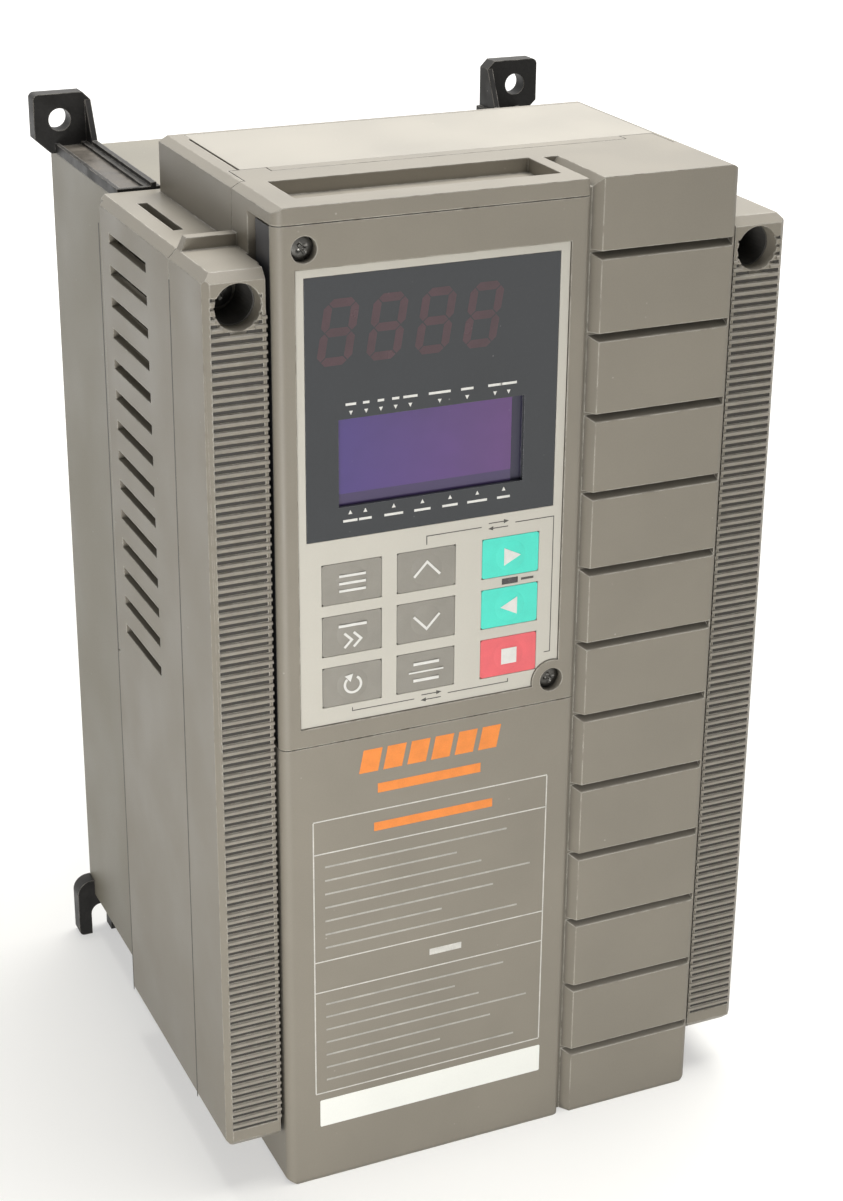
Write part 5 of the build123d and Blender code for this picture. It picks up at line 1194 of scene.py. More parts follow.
@dataclass
class LabelPrint:
    """Thin dark lines on the label that tie keys together, and the lamp's dash."""

    line: float = 0.22 * MM
    lamp_gap: float = 0.9 * MM
    lamp_dash: float = 3.4 * MM
    lamp_dash_half: float = 0.3 * MM
    key_gap: float = 1.2 * MM
    upper_rise: float = 3.4 * MM
    upper_side: float = 3.9 * MM
    upper_foot: float = 4.2 * MM
    upper_return: float = 1.6 * MM
    upper_sign_shift: float = 2.0 * MM
    lower_drop: float = 2.1 * MM
    lower_tick: float = 0.9 * MM
    sign_room: float = 4.5 * MM
    swap_rise: float = 0.7 * MM
    swap_tail: float = 2.6 * MM
    swap_neck: float = 1.4 * MM
    swap_tip: float = 2.8 * MM
    shaft_half: float = 0.12 * MM
    head_half: float = 0.55 * MM

    def build(self, paint: Paintbox) -> None:
        """Prints the lines around the keys.

        Args:
            paint: Where the materials come from.
        """
        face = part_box("keypad_overlay")[0].y
        piece = Piece("label_lines", PRINT_DARK, "keypad", "label_sheet")
        upper, upper_sign = self.upper_tie()
        lower, lower_sign = self.lower_tie()
        for points in upper + lower:
            piece.printed(ribbon(points, self.line), face)
        for outline in self.swap_sign(upper_sign) + self.swap_sign(lower_sign):
            piece.printed(outline, face)
        lamp_low, lamp_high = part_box("run_lamp")
        middle = (lamp_low.z + lamp_high.z) / 2
        dash = lamp_high.x + self.lamp_gap
        piece.printed(rectangle((dash, middle - self.lamp_dash_half),
                                (dash + self.lamp_dash, middle + self.lamp_dash_half)), face)
        piece.done(paint)

    def upper_tie(self) -> tuple[list[list[Point]], Point]:
        """Gives the lines from the up key over to the stop key.

        Returns:
            The lines, and the middle of the gap between them.
        """
        up_low, up_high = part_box("up_key")
        stop_low, stop_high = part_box("stop_key")
        start = (up_low.x + up_high.x) / 2
        level = up_high.z + self.upper_rise
        side = stop_high.x + self.upper_side
        foot = stop_low.z + self.upper_foot
        middle = (start + side) / 2 + self.upper_sign_shift
        lines = [[(start, up_high.z + self.key_gap), (start, level), (middle - self.sign_room, level)],
                 [(middle + self.sign_room, level), (side, level), (side, foot),
                  (side - self.upper_return, foot)]]
        return lines, (middle, level)

    def lower_tie(self) -> tuple[list[list[Point]], Point]:
        """Gives the lines from the reset key over to the stop key.

        Returns:
            The lines, and the middle of the gap between them.
        """
        reset_low, reset_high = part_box("reset_key")
        stop_low, stop_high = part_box("stop_key")
        level = reset_low.z - self.lower_drop
        start = (reset_low.x + reset_high.x) / 2
        end = (stop_low.x + stop_high.x) / 2
        middle = (start + end) / 2
        tick = level + self.lower_tick
        lines = [[(start, tick), (start, level), (middle - self.sign_room, level)],
                 [(middle + self.sign_room, level), (end, level), (end, tick)]]
        return lines, (middle, level)

    def swap_sign(self, centre: Point) -> list[list[Point]]:
        """Gives two small arrows that point opposite ways.

        Args:
            centre: Their common middle.

        Returns:
            Their outlines.
        """
        shapes = []
        for sign in (1, -1):
            z = centre[1] + sign * self.swap_rise
            tail = centre[0] - sign * self.swap_tail
            neck = centre[0] + sign * self.swap_neck
            tip = centre[0] + sign * self.swap_tip
            shapes.append([(tail, z - self.shaft_half), (neck, z - self.shaft_half),
                           (neck, z - self.head_half), (tip, z), (neck, z + self.head_half),
                           (neck, z + self.shaft_half), (tail, z + self.shaft_half)])
        return shapes


# ---------------------------------------------------------------- front cover


@dataclass
class CoverPrint:
    """Plain print on the lower part of the cover, and a blank sticker.

    Each bar is given as its left, right, low and high.
    """

    front: float = field(init=False)
    bar_count: int = 6
    bar_height: float = 6.2 * MM
    bar_gap: float = 1.4 * MM
    bar_slant: float = 0.2
    bars_left: float = -39.5 * MM
    bars_right: float = -1.0 * MM
    bars_bottom: float = 117.2 * MM
    thin_bar: tuple[float, float, float, float] = (-34.5 * MM, -6.5 * MM, 111.0 * MM, 113.6 * MM)
    heading_bar: tuple[float, float, float, float] = (-35.5 * MM, -3.0 * MM, 100.4 * MM, 102.8 * MM)
    lower_heading: tuple[float, float, float, float] = (-20.0 * MM, -11.0 * MM, 60.6 * MM, 62.4 * MM)
    panel_left: float = -51.7 * MM
    panel_right: float = 12.4 * MM
    panel_levels: tuple[float, ...] = (26.5 * MM, 57.0 * MM, 66.0 * MM, 97.0 * MM, 106.2 * MM)
    panel_line: float = 0.32 * MM
    rule_pitch: float = 3.75 * MM
    rule_weight: float = 0.5 * MM
    rule_inset: float = 3.0 * MM
    rule_shares: tuple[float, ...] = (1.0, 0.86, 0.62, 0.74, 0.98, 0.80, 0.55, 0.92)
    sticker_low: Point = (-50.6 * MM, 16.2 * MM)
    sticker_high: Point = (12.8 * MM, 24.3 * MM)
    sticker_corner: float = 0.4 * MM
    sticker_thickness: float = 0.08 * MM

    def build(self, paint: Paintbox) -> None:
        """Prints the bars and the ruled panel and lays on the sticker.

        Args:
            paint: Where the materials come from.
        """
        self.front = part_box("front_cover")[0].y
        self.bars(paint)
        self.panel(paint)
        self.rules(paint)
        self.sticker(paint)

    def bars(self, paint: Paintbox) -> None:
        """Prints a row of slanted orange bars over two plain ones.

        Args:
            paint: Where the materials come from.
        """
        piece = Piece("orange_bars", PRINT_ORANGE, "cover", "label_sheet")
        lean = self.bar_slant * self.bar_height
        pitch = (self.bars_right - self.bars_left - lean + self.bar_gap) / self.bar_count
        bottom, top = self.bars_bottom, self.bars_bottom + self.bar_height
        for count in range(self.bar_count):
            left = self.bars_left + count * pitch
            right = left + pitch - self.bar_gap
            piece.printed([(left, bottom), (right, bottom), (right + lean, top), (left + lean, top)],
                          self.front)
        for left, right, low, high in (self.thin_bar, self.heading_bar):
            piece.printed(rectangle((left, low), (right, high)), self.front)
        piece.done(paint)

    def panel(self, paint: Paintbox) -> None:
        """Prints a ruled frame with a short bar in its middle row.

        Args:
            paint: Where the materials come from.
        """
        piece = Piece("panel_frame", PRINT_PALE, "cover", "label_sheet")
        half = self.panel_line / 2
        foot, head = self.panel_levels[0] + half, self.panel_levels[-1] - half
        for level in self.panel_levels:
            piece.printed(rectangle((self.panel_left, level - half), (self.panel_right, level + half)),
                          self.front)
        for x in (self.panel_left, self.panel_right):
            piece.printed(rectangle((x - half, foot), (x + half, head)), self.front)
        left, right, low, high = self.lower_heading
        piece.printed(rectangle((left, low), (right, high)), self.front)
        piece.done(paint)

    def rules(self, paint: Paintbox) -> None:
        """Prints rows of faint writing lines in the panel's two large fields.

        Args:
            paint: Where the materials come from.
        """
        piece = Piece("panel_rules", PRINT_FAINT, "cover", "label_sheet")
        left = self.panel_left + self.rule_inset
        width = self.panel_right - self.panel_left - 2 * self.rule_inset
        for low, high in (self.panel_levels[0:2], self.panel_levels[2:4]):
            count = int((high - low) / self.rule_pitch)
            for row in range(1, count):
                level = high - (high - low) * row / count
                right = left + width * self.rule_shares[row % len(self.rule_shares)]
                piece.printed(rectangle((left, level - self.rule_weight / 2),
                                        (right, level + self.rule_weight / 2)), self.front)
        piece.done(paint)

    def sticker(self, paint: Paintbox) -> None:
        """Lays a blank white sticker near the foot of the cover.

        Args:
            paint: Where the materials come from.
        """
        piece = Piece("blank_sticker", STICKER, "cover", "label_sheet")
        piece.prism(rounded_rectangle(self.sticker_low, self.sticker_high, self.sticker_corner),
                    self.front - self.sticker_thickness, self.sticker_thickness)
        piece.done(paint)


@dataclass
class WingRibs:
    """Rounded grip ribs across both wings of the cover, one between every two grooves."""

    front: float = field(init=False)
    span: Point = field(init=False)
    bore: Point = field(init=False)
    groove_count: int = 110
    end: float = 19.9 * MM
    setback: float = 2.8 * MM
    wing_width: float = 15.5 * MM
    margin: float = 0.8 * MM
    chamfer: float = 1.5 * MM
    half_width: float = 0.5 * MM
    crown: float = 0.5 * MM
    flats: int = 6
    groove_shade_half: float = 0.36 * MM
    groove_shade_depth: float = 0.2 * MM
    bore_inset: float = 8.0 * MM
    bore_drop: float = 22.0 * MM
    bore_reach: float = 6.3 * MM
    bore_radius: float = 5.45 * MM
    bore_depth: float = 19.0 * MM
    bore_rim: float = 4.6 * MM
    shade_lining_wall: float = 0.3 * MM

    def build(self, paint: Paintbox) -> None:
        """Builds the ribs of both wings, the painted shade in their grooves and the dark linings that paint
        the shade in the bores.

        Args:
            paint: Where the materials come from.
        """
        cover_low, cover_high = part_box("front_cover")
        floor, top = (corner.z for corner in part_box("mid_casing"))
        side = cover_high.x
        self.front = cover_low.y + self.setback
        self.span = (side - self.wing_width + self.margin, side - self.chamfer)
        self.bore = (side - self.bore_inset, top - self.bore_drop)
        pitch = (top - floor - 2 * self.end) / (self.groove_count - 1)
        self.ribs(paint, floor + self.end, pitch)
        self.dirt(paint, floor + self.end, pitch)
        self.sleeves(paint)

    def ribs(self, paint: Paintbox, lowest: float, pitch: float) -> None:
        """Rounds off the wall between every two grooves.

        Args:
            paint: Where the materials come from.
            lowest: The lowest groove's height.
            pitch: How far apart the grooves are.
        """
        # The ribs' lighter finish is partly rubbed wear and partly a painted highlight.
        piece = Piece("wing_ribs", RIB_WEAR_AND_HIGHLIGHT, "cover", "taupe_plastic")
        for index in range(self.groove_count - 1):
            level = lowest + (index + 0.5) * pitch
            profile = [(self.front + PROUD - self.crown * math.sin(math.pi * step / self.flats),
                        level + self.half_width * math.cos(math.pi * step / self.flats))
                       for step in range(self.flats + 1)]
            for start, end in self.stretches(level):
                for sign in (-1, 1):
                    piece.rail(profile, sign * start, sign * end)
        piece.done(paint)

    def dirt(self, paint: Paintbox, lowest: float, pitch: float) -> None:
        """Lays painted shade, a dark strip, in the bottom of every groove.

        Args:
            paint: Where the materials come from.
            lowest: The lowest groove's height.
            pitch: How far apart the grooves are.
        """
        # A dark strip of painted shade in each groove.
        piece = Piece("groove_dirt", GROOVE_SHADE, "cover", "taupe_plastic")
        face = self.front + self.groove_shade_depth
        for index in range(self.groove_count):
            level = lowest + index * pitch
            low, high = level - self.groove_shade_half, level + self.groove_shade_half
            for start, end in self.stretches(level):
                for left, right in ((start, end), (-end, -start)):
                    piece.box((left, face, low), (right, face + PROUD, high))
        piece.done(paint)

    def sleeves(self, paint: Paintbox) -> None:
        """Lines the bores of the cover's screws with a dark tube of painted shade.

        Args:
            paint: Where the materials come from.
        """
        # The dark tube paints the shade inside each bore.
        piece = Piece("bore_sleeves", BORE_SHADE, "cover", "taupe_plastic")
        for sign in (-1, 1):
            rim = Vector((sign * self.bore[0], self.front + self.bore_rim, self.bore[1]))
            piece.tube(rim, self.bore_radius - self.shade_lining_wall, self.bore_radius,
                       self.bore_depth - self.setback - self.bore_rim)
        piece.done(paint)

    def stretches(self, level: float) -> list[Point]:
        """Gives the parts of a rib or a groove that stay clear of the screw's bore.

        Args:
            level: Its height.

        Returns:
            The start and end of each part, on the right wing.
        """
        rise = abs(level - self.bore[1])
        if rise >= self.bore_reach:
            return [self.span]
        half = math.sqrt(self.bore_reach ** 2 - rise ** 2)
        parts = [(self.span[0], self.bore[0] - half), (self.bore[0] + half, self.span[1])]
        return [part for part in parts if part[1] - part[0] > self.half_width]


# ---------------------------------------------------------------- boards


@dataclass(frozen=True)
class Terminals:
    """The screws of one terminal block: its node, its ways, their size and finish."""

    node: str
    ways: int
    radius: float
    finish: Finish


@dataclass
class BoardDetail:
    """Small parts, tracks, legs and screws on the control board and the terminal blocks.

    The board's margins are the strips at its foot, head and sides that stay bare.
    """

    film: float = 0.04 * MM
    part_seed: int = 7
    part_sizes: tuple[Point, ...] = ((1.6 * MM, 0.8 * MM), (2.0 * MM, 1.25 * MM),
                                     (0.8 * MM, 1.6 * MM), (3.2 * MM, 1.6 * MM))
    part_share: float = 0.62
    part_height: float = 0.6 * MM
    part_row: float = 5.2 * MM
    part_step: float = 4.4 * MM
    part_foot: float = 18 * MM
    part_head: float = 8 * MM
    part_side: float = 6 * MM
    end_half: float = 0.25 * MM
    clearance: float = 1.2 * MM
    track_seed: int = 3
    track_count: int = 26
    track_bends: int = 3
    track_width: float = 0.45 * MM
    track_jogs: tuple[float, ...] = (-6 * MM, -3 * MM, 3 * MM, 6 * MM)
    track_foot: float = 16 * MM
    track_start_spread: float = 60 * MM
    track_margin: float = 5 * MM
    track_side: float = 3 * MM
    track_bend_head: float = 8 * MM
    track_head: float = 6 * MM
    track_run: float = 6 * MM
    track_run_spread: float = 14 * MM
    leg_pitch: float = 1.27 * MM
    least_legs: int = 3
    leg_first: float = 0.75
    leg_spare: float = 0.5
    leg_reach: float = 1.1 * MM
    leg_top: float = 0.25 * MM
    leg_foot: float = 0.02 * MM
    leg_half: float = 0.22 * MM
    screw_radius: float = 2.6 * MM
    screw_inset: float = 0.4 * MM
    screw_height: float = 1.3 * MM
    screw_dome: float = 0.4 * MM
    screw_face: float = 0.95
    screw_turn: float = 40.0
    terminals: tuple[Terminals, ...] = (Terminals("main_terminal_block", 9, 3.0 * MM, BRASS),
                                        Terminals("control_terminal_block", 13, 1.2 * MM, STEEL))
    terminal_share: float = 0.36
    terminal_dome: float = 0.3 * MM
    terminal_turn: float = 25.0

    def build(self, paint: Paintbox) -> None:
        """Dresses the control board and the two terminal blocks.

        Args:
            paint: Where the materials come from.
        """
        chips = self.boxes_of("control_chips")
        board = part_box("control_board")
        self.parts(paint, board, chips)
        self.tracks(paint, board)
        self.legs(paint, chips)
        self.corner_screws(paint, board)
        self.terminal_screws(paint)

    @staticmethod
    def boxes_of(name: str) -> list[Box]:
        """Gives the boxes of a node's separate solids, from its connected faces.

        Args:
            name: The node.

        Returns:
            A low and a high corner for each solid.
        """
        source = next(item for item in bpy.data.objects if item.name.split(".")[0] == name)
        mesh = bmesh.new()
        mesh.from_mesh(source.data)
        bmesh.ops.remove_doubles(mesh, verts=mesh.verts, dist=WELD)
        left, boxes = set(mesh.verts), []
        while left:
            group, front = [], [left.pop()]
            while front:
                vert = front.pop()
                group.append(vert.co.copy())
                for edge in vert.link_edges:
                    other = edge.other_vert(vert)
                    if other in left:
                        left.remove(other)
                        front.append(other)
            boxes.append(tuple(Vector([pick(point[axis] for point in group) for axis in range(3)])
                               for pick in (min, max)))
        mesh.free()
        return sorted(boxes, key=lambda box: tuple(box[0]))

    def parts(self, paint: Paintbox, board: Box, chips: list[Box]) -> None:
        """Scatters small parts with tinned ends in rows between the chips.

        Args:
            paint: Where the materials come from.
            board: The board's corners.
            chips: The corners of each chip.
        """
        low, high = board
        draw = random.Random(self.part_seed)
        dark = Piece("control_small_parts", PART_BLACK, "chassis", "part_black")
        pale = Piece("control_part_ends", TIN, "chassis", "zinc_steel")
        z = low.z + self.part_foot
        while z < high.z - self.part_head:
            x = low.x + self.part_side
            while x < high.x - self.part_side:
                size = draw.choice(self.part_sizes)
                half = (size[0] / 2, size[1] / 2)
                if draw.random() < self.part_share and self.clear((x, z), half, chips):
                    dark.prism(around((x, z), half), low.y - self.part_height, self.part_height)
                    for end in (x - half[0], x + half[0]):
                        pale.prism(around((end, z), (self.end_half, half[1])),
                                   low.y - self.part_height - self.film, self.part_height + self.film)
                x += self.part_step
            z += self.part_row
        dark.done(paint)
        pale.done(paint)

    def clear(self, spot: Point, half: Point, chips: list[Box]) -> bool:
        """Tells whether a part keeps clear of the chips.

        Args:
            spot: The part's centre, as X and Z.
            half: Half its width and half its height.
            chips: The corners of each chip.

        Returns:
            True where no chip is near.
        """
        room = (self.clearance + half[0], self.clearance + half[1])
        return not any(low.x - room[0] < spot[0] < high.x + room[0]
                       and low.z - room[1] < spot[1] < high.z + room[1] for low, high in chips)

    def tracks(self, paint: Paintbox, board: Box) -> None:
        """Lays bent tracks under the lacquer.

        Args:
            paint: Where the materials come from.
            board: The board's corners.
        """
        low, high = board
        piece = Piece("control_tracks", TRACK, "chassis", "board_green")
        draw = random.Random(self.track_seed)
        left, right = low.x + self.track_side, high.x - self.track_side
        room = high.x - low.x - 2 * self.track_margin
        for count in range(self.track_count):
            x = low.x + self.track_margin + count * room / self.track_count
            z = low.z + self.track_foot + draw.random() * self.track_start_spread
            points = [(x, z)]
            for _ in range(self.track_bends):
                x = min(max(x + draw.choice(self.track_jogs), left), right)
                z = min(z + abs(x - points[-1][0]), high.z - self.track_bend_head)
                points.append((x, z))
                run = self.track_run + self.track_run_spread * draw.random()
                z = min(z + run, high.z - self.track_head)
                points.append((x, z))
            piece.prism(ribbon(points, self.track_width), low.y - self.film / 2, self.film / 2)
        piece.done(paint)

    def legs(self, paint: Paintbox, chips: list[Box]) -> None:
        """Puts rows of legs along the chips' sides.

        Args:
            paint: Where the materials come from.
            chips: The corners of each chip.
        """
        piece = Piece("chip_legs", TIN, "chassis", "zinc_steel")
        for low, high in chips:
            height = high.z - low.z
            count = max(self.least_legs, int(height / self.leg_pitch) - 1)
            for index in range(count):
                z = low.z + (index + self.leg_first) * height / (count + self.leg_spare)
                for left, right in ((low.x - self.leg_reach, low.x), (high.x, high.x + self.leg_reach)):
                    piece.box((left, high.y - self.leg_top, z - self.leg_half),
                              (right, high.y - self.leg_foot, z + self.leg_half))
        piece.done(paint)

    def corner_screws(self, paint: Paintbox, board: Box) -> None:
        """Puts a cross-head screw over each standoff.

        Args:
            paint: Where the materials come from.
            board: The board's corners.
        """
        low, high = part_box("board_standoffs")
        face = board[0].y
        inset = self.screw_radius + self.screw_inset
        radius = self.screw_face * self.screw_radius
        piece = Piece("board_screws", STEEL, "chassis", "zinc_steel")
        for x in (low.x + inset, high.x - inset):
            for z in (low.z + inset, high.z - inset):
                piece.drum(Vector((x, face, z)), self.screw_radius, self.screw_height)
                piece.cross_head(Vector((x, face - self.screw_height, z)), radius, self.screw_dome,
                                 Facing.FRONT, self.screw_turn)
        piece.done(paint)

    def terminal_screws(self, paint: Paintbox) -> None:
        """Puts a screw in each way of the two terminal blocks.

        Args:
            paint: Where the materials come from.
        """
        for block in self.terminals:
            low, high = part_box(block.node)
            pitch = (high.x - low.x) / block.ways
            radius = min(block.radius, self.terminal_share * pitch)
            piece = Piece(f"{block.node}_screws", block.finish, "chassis", "brass_post")
            for index in range(block.ways):
                centre = Vector((low.x + (index + 0.5) * pitch, low.y, (low.z + high.z) / 2))
                piece.cross_head(centre, radius, self.terminal_dome, Facing.FRONT, self.terminal_turn * index)
            piece.done(paint, smooth=True)


# ---------------------------------------------------------------- dirt and dust


@dataclass
class SeamShade:
    """Dark lines of painted shade along the seams down the two side walls."""

    width: float = 0.45 * MM
    film: float = 0.05 * MM
    foot: float = 15.0 * MM
    head: float = 3.0 * MM
    cover_overlap: float = 0.36 * MM

    def build(self, paint: Paintbox) -> None:
        """Lays a line along each side's front and rear seam.

        Args:
            paint: Where the materials come from.
        """
        low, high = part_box("mid_casing")
        foot, head = low.z + self.foot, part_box("cover_screws")[1].z - self.head
        # The dark print finish stands in for the shade inside the seams.
        piece = Piece("seam_dirt", PRINT_DARK, "chassis", "dark_plastic")
        for side in (low.x, high.x):
            for y in (low.y - self.cover_overlap, high.y - self.width):
                piece.box((side - self.film, y, foot), (side + self.film, y + self.width, head))
        piece.done(paint)


@dataclass
class BracketTrays:
    """A brown film on the floors of the upper brackets' trays: dust, and a painted reflection of the light
    off the glossy floors.
    """

    rim: float = 1.1 * MM
    width: float = 6.2 * MM
    floor_rise: float = 1.8 * MM
    ear: float = 5.0 * MM
    margin: float = 0.15 * MM

    def build(self, paint: Paintbox) -> None:
        """Lays the film of dust and painted reflection in both trays.

        Args:
            paint: Where the materials come from.
        """
        side, _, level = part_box("rear_housing")[1]
        outer = side - self.rim - self.margin
        inner = outer - self.width + 2 * self.margin
        piece = Piece("tray_dust", TRAY_DUST_AND_REFLECTION, "chassis", "black_plastic")
        for node, left, right in (("upper_bracket_left", -outer, -inner),
                                  ("upper_bracket_right", inner, outer)):
            low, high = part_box(node)
            piece.plate(rectangle((left, low.y + self.rim + self.margin), (right, high.y - self.ear)),
                        level + self.floor_rise + PROUD, PROUD)
        piece.done(paint)


# ---------------------------------------------------------------- fan


@dataclass
class FanLid:
    """A flat lid over the fan, with a grille of rings and spokes."""

    flange: float = 0.5 * MM
    tip_clearance: float = 1.0 * MM
    hub: float = 11.0 * MM
    ring_count: int = 4
    ring_width: float = 1.4 * MM
    spoke_count: int = 6
    spoke_width: float = 1.8 * MM
    spoke_inset: float = 0.1 * MM
    steps: int = 72

    def build(self, paint: Paintbox) -> None:
        """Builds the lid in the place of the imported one.

        Args:
            paint: Where the materials come from.
        """
        low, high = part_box("fan_cover")
        rotor_low, rotor_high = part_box("fan_rotor")
        centre = ((rotor_low.x + rotor_high.x) / 2, (rotor_low.y + rotor_high.y) / 2)
        bore = (rotor_high.x - rotor_low.x) / 2 + self.tip_clearance
        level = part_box("rear_housing")[1].z
        top, depth = level + self.flange, level - low.z
        piece = Piece("fan_lid", HOUSING, "chassis", "taupe_plastic")
        angles = [360 * step / self.steps for step in range(self.steps)]
        outer = [self.on_edge(centre, angle, (low.x, low.y), (high.x, high.y)) for angle in angles]
        piece.band(self.circle(centre, bore), outer, top, top - low.z)
        piece.plate(self.circle(centre, self.hub), level, depth)
        pitch = (bore - self.hub) / self.ring_count
        for count in range(1, self.ring_count):
            radius = self.hub + count * pitch
            piece.band(self.circle(centre, radius - self.ring_width / 2),
                       self.circle(centre, radius + self.ring_width / 2), level, depth)
        for count in range(self.spoke_count):
            angle = 2 * math.pi * count / self.spoke_count
            ends = [(centre[0] + radius * math.cos(angle), centre[1] + radius * math.sin(angle))
                    for radius in (self.hub / 2, bore + self.ring_width / 2)]
            piece.plate(ribbon(ends, self.spoke_width), level - self.spoke_inset,
                        depth - 2 * self.spoke_inset)
        made = piece.done(paint)
        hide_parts("fan_cover")

    def circle(self, centre: Point, radius: float) -> list[Point]:
        """Gives the points of a full circle, one for each step."""
        return arc(centre, radius, 0, 360 * (self.steps - 1) / self.steps, self.steps - 1)

    @staticmethod
    def on_edge(centre: Point, angle: float, low: Point, high: Point) -> Point:
        """Gives where a ray from the centre meets a rectangle's edge.

        Args:
            centre: Where the ray starts.
            angle: Its direction in degrees.
            low: The rectangle's lower left corner.
            high: Its upper right corner.

        Returns:
            The meeting point.
        """
        heading = (math.cos(math.radians(angle)), math.sin(math.radians(angle)))
        reach = min(((high[axis] if heading[axis] > 0 else low[axis]) - centre[axis]) / heading[axis]
                    for axis in range(2) if abs(heading[axis]) > TINY)
        return (centre[0] + reach * heading[0], centre[1] + reach * heading[1])


# ---------------------------------------------------------------- fasteners


@dataclass
class ScrewFaces:
    """Cross-shaped recesses on the screws of the cover, the keypad and the fan lid.

    A turn is a cross's angle in degrees. The fan's is what each millimetre of X adds.
    """

    dome: float = 0.55 * MM
    share: float = 0.96
    cover_turns: Point = (20.0, 65.0)
    keypad_radius: float = 2.8 * MM
    keypad_turns: Point = (33.0, 10.0)
    fan_radius: float = 3.2 * MM
    fan_turn: float = 300

    def build(self, paint: Paintbox) -> None:
        """Caps each screw of the cover, the keypad and the fan.

        Args:
            paint: Where the materials come from.
        """
        low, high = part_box("cover_screws")
        radius = (high.z - low.z) / 2
        level = high.z - radius
        spots = [Vector((low.x + radius, low.y, level)), Vector((high.x - radius, low.y, level))]
        self.cap(paint, Piece("cover_screw_faces", STEEL, "cover", "zinc_steel"), radius, Facing.FRONT,
                 spots, self.cover_turns)
        low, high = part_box("keypad_screws")
        radius = self.keypad_radius
        spots = [Vector((low.x + radius, low.y, high.z - radius)),
                 Vector((high.x - radius, low.y, low.z + radius))]
        self.cap(paint, Piece("keypad_screw_faces", STEEL, "keypad", "zinc_steel"), radius, Facing.FRONT,
                 spots, self.keypad_turns)
        low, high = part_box("fan_screws")
        radius = self.fan_radius
        columns, rows = (low.x + radius, high.x - radius), (low.y + radius, high.y - radius)
        spots = [Vector((x, y, high.z)) for x in columns for y in rows]
        self.cap(paint, Piece("fan_screw_faces", STEEL, "chassis", "zinc_steel"), radius, Facing.TOP,
                 spots, [self.fan_turn * x / MM for x in columns for _ in rows])

    def cap(self, paint: Paintbox, piece: Piece, radius: float, facing: Facing, spots: list[Vector],
            turns: Iterable[float]) -> None:
        """Caps one group of screws.

        Args:
            paint: Where the materials come from.
            piece: The piece that holds the faces.
            radius: The screw heads' radius.
            facing: Which way the heads face.
            spots: The middle of each head.
            turns: Each cross's angle in degrees.
        """
        for spot, turn in zip(spots, turns):
            piece.cross_head(spot, self.share * radius, self.dome, facing, turn)
        piece.done(paint, smooth=True)


# ---------------------------------------------------------------- stage


def seen_directly(graph: Graph) -> Socket:
    """Gives 1 to rays from the camera and to those that mirrors and glass send on.

    Args:
        graph: The tree to add it to.

    Returns:
        The share.
    """
    path = graph.add("LightPath").outputs
    mirrored = graph.math("MAXIMUM", path["Is Glossy Ray"], path["Is Transmission Ray"], clamped=False)
    return graph.math("MAXIMUM", path["Is Camera Ray"], mirrored, clamped=False)


@dataclass(frozen=True)
class Softbox:
    """A square soft lamp: its name, its place, the length of its side and its watts."""

    name: str
    place: Triple
    size: float
    power: float


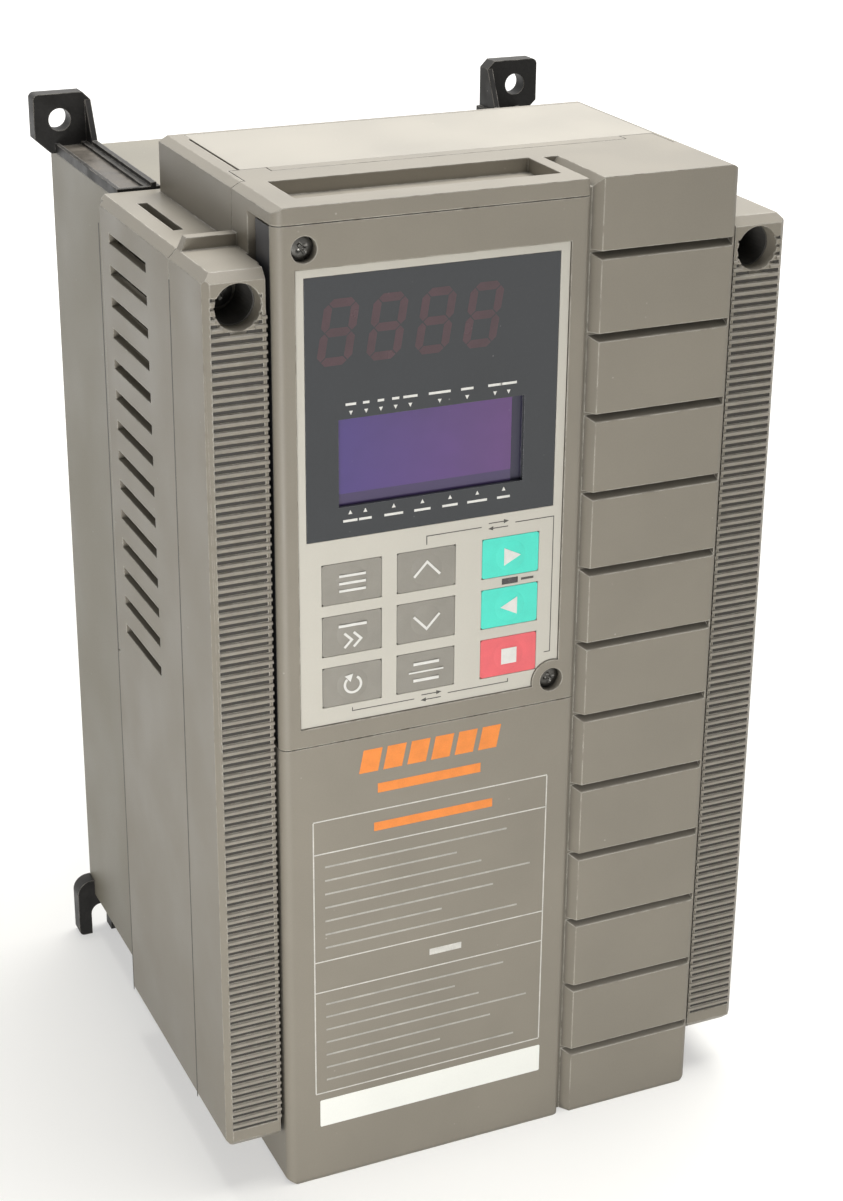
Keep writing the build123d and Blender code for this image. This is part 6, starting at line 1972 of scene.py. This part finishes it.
@dataclass
class Studio:
    """A white floor, an even sky, three soft lamps and the camera."""

    camera_place: Triple = (-0.23126, -0.53564, 0.38306)
    camera_turn: Triple = (67.335, -0.619, -24.367)
    lens: float = 69.1
    sensor: float = 36.0
    shift: Point = (-0.01352, -0.03241)
    floor_size: float = 8.0
    floor_tones: tuple[Colour, Colour] = ((0.50, 0.49, 0.455), (0.52, 0.51, 0.475))
    floor_patch: float = 0.4
    floor_roughness: float = 0.7
    floor_glow: float = 0.47
    glow_colour: Colour = (1.0, 1.0, 1.0)
    glow_reach: Point = (0.3, 0.9)
    sky: float = 0.25
    sky_colour: Colour = (1.0, 0.995, 0.985)
    aim: Triple = (0.0, 0.0, 0.13)
    lamps: tuple[Softbox, ...] = (Softbox("overhead_softbox", (0.24, 0.07, 1.25), 0.9, 21.0),
                                  Softbox("front_softbox", (-0.24, -0.44, 0.04), 0.24, 2.05),
                                  Softbox("side_softbox", (-0.50, -0.02, 0.05), 0.2, 0.1))

    def build(self) -> None:
        """Builds the floor, the world, the lamps and the camera."""
        self.floor()
        self.world()
        for softbox in self.lamps:
            self.lamp(softbox)
        self.camera()

    def floor(self) -> None:
        """Lays a large pale floor, which shows white and keeps the object's shadow."""
        half = self.floor_size / 2
        corner_points = [(x, y, 0) for x, y in rectangle((-half, -half), (half, half))]
        data = bpy.data.meshes.new("floor")
        data.from_pydata(corner_points, [], [(0, 1, 2, 3)])
        made = bpy.data.objects.new("floor", data)
        bpy.context.scene.collection.objects.link(made)
        graph = Graph("pale_floor")
        place = graph.add("TexCoord").outputs["Object"]
        tone = graph.blend(graph.noise(place, self.floor_patch), *self.floor_tones)
        away = graph.add("VectorMath", {"operation": "LENGTH"}, Vector=place).outputs["Value"]
        level = graph.span(away, *self.glow_reach, self.floor_glow, 1.0)
        glow = graph.math("MULTIPLY", seen_directly(graph), level)
        shader = graph.add("BsdfPrincipled", Base_Color=tone, Roughness=self.floor_roughness,
                           Emission_Color=self.glow_colour, Emission_Strength=glow)
        graph.add("OutputMaterial", Surface=shader.outputs[0])
        data.materials.append(graph.material)

    def world(self) -> None:
        """Sets an even sky that shows white to the camera."""
        world = bpy.data.worlds.new("studio")
        world.use_nodes = True
        bpy.context.scene.world = world
        graph = Graph.of(world.node_tree)
        strength = graph.span(seen_directly(graph), 0.0, 1.0, self.sky, 1.0)
        background = graph.add("Background", Color=self.sky_colour, Strength=strength)
        graph.add("OutputWorld", Surface=background.outputs[0])

    def lamp(self, softbox: Softbox) -> None:
        """Hangs a soft lamp that points at the middle of the drive.

        Args:
            softbox: Which lamp it is.
        """
        data = bpy.data.lights.new(softbox.name, "AREA")
        data.shape, data.size, data.energy = "SQUARE", softbox.size, softbox.power
        made = bpy.data.objects.new(softbox.name, data)
        made.location = softbox.place
        away = Vector(self.aim) - Vector(softbox.place)
        made.rotation_euler = away.to_track_quat("-Z", "Y").to_euler()
        bpy.context.scene.collection.objects.link(made)

    def camera(self) -> None:
        """Sets the camera where the whole drive is seen from its upper left."""
        data = bpy.data.cameras.new("camera")
        data.lens, data.sensor_width = self.lens, self.sensor
        data.shift_x, data.shift_y = self.shift
        made = bpy.data.objects.new("camera", data)
        made.location = self.camera_place
        made.rotation_euler = [math.radians(angle) for angle in self.camera_turn]
        bpy.context.scene.collection.objects.link(made)
        bpy.context.scene.camera = made


def dress_frame(frame: dict, paint: Paintbox) -> None:
    """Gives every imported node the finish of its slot.

    Args:
        frame: What the frame holds.
        paint: Where the materials come from.
    """
    for name, node in frame["nodes"].items():
        for slot in node.material_slots:
            base = slot.material.name.split(".")[0]
            slot.material = paint.material(NODE_FINISHES.get(name, SLOT_FINISHES[base]))
        LOG.info("dressed %s", name)


def main() -> None:
    """Loads the frame, dresses it and builds the pieces in order."""
    logging.basicConfig(level=logging.INFO, format="%(name)s: %(message)s")
    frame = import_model()
    bpy.context.scene.view_settings.view_transform = "Standard"
    paint = Paintbox()
    dress_frame(frame, paint)
    for group in (Display(), LabelPrint(), KeySigns(), CoverPrint(), WingRibs(), SeamShade(),
                  BracketTrays(), BoardDetail(), FanLid(), ScrewFaces()):
        group.build(paint)
    Studio().build()


if __name__ == "__main__":
    main()
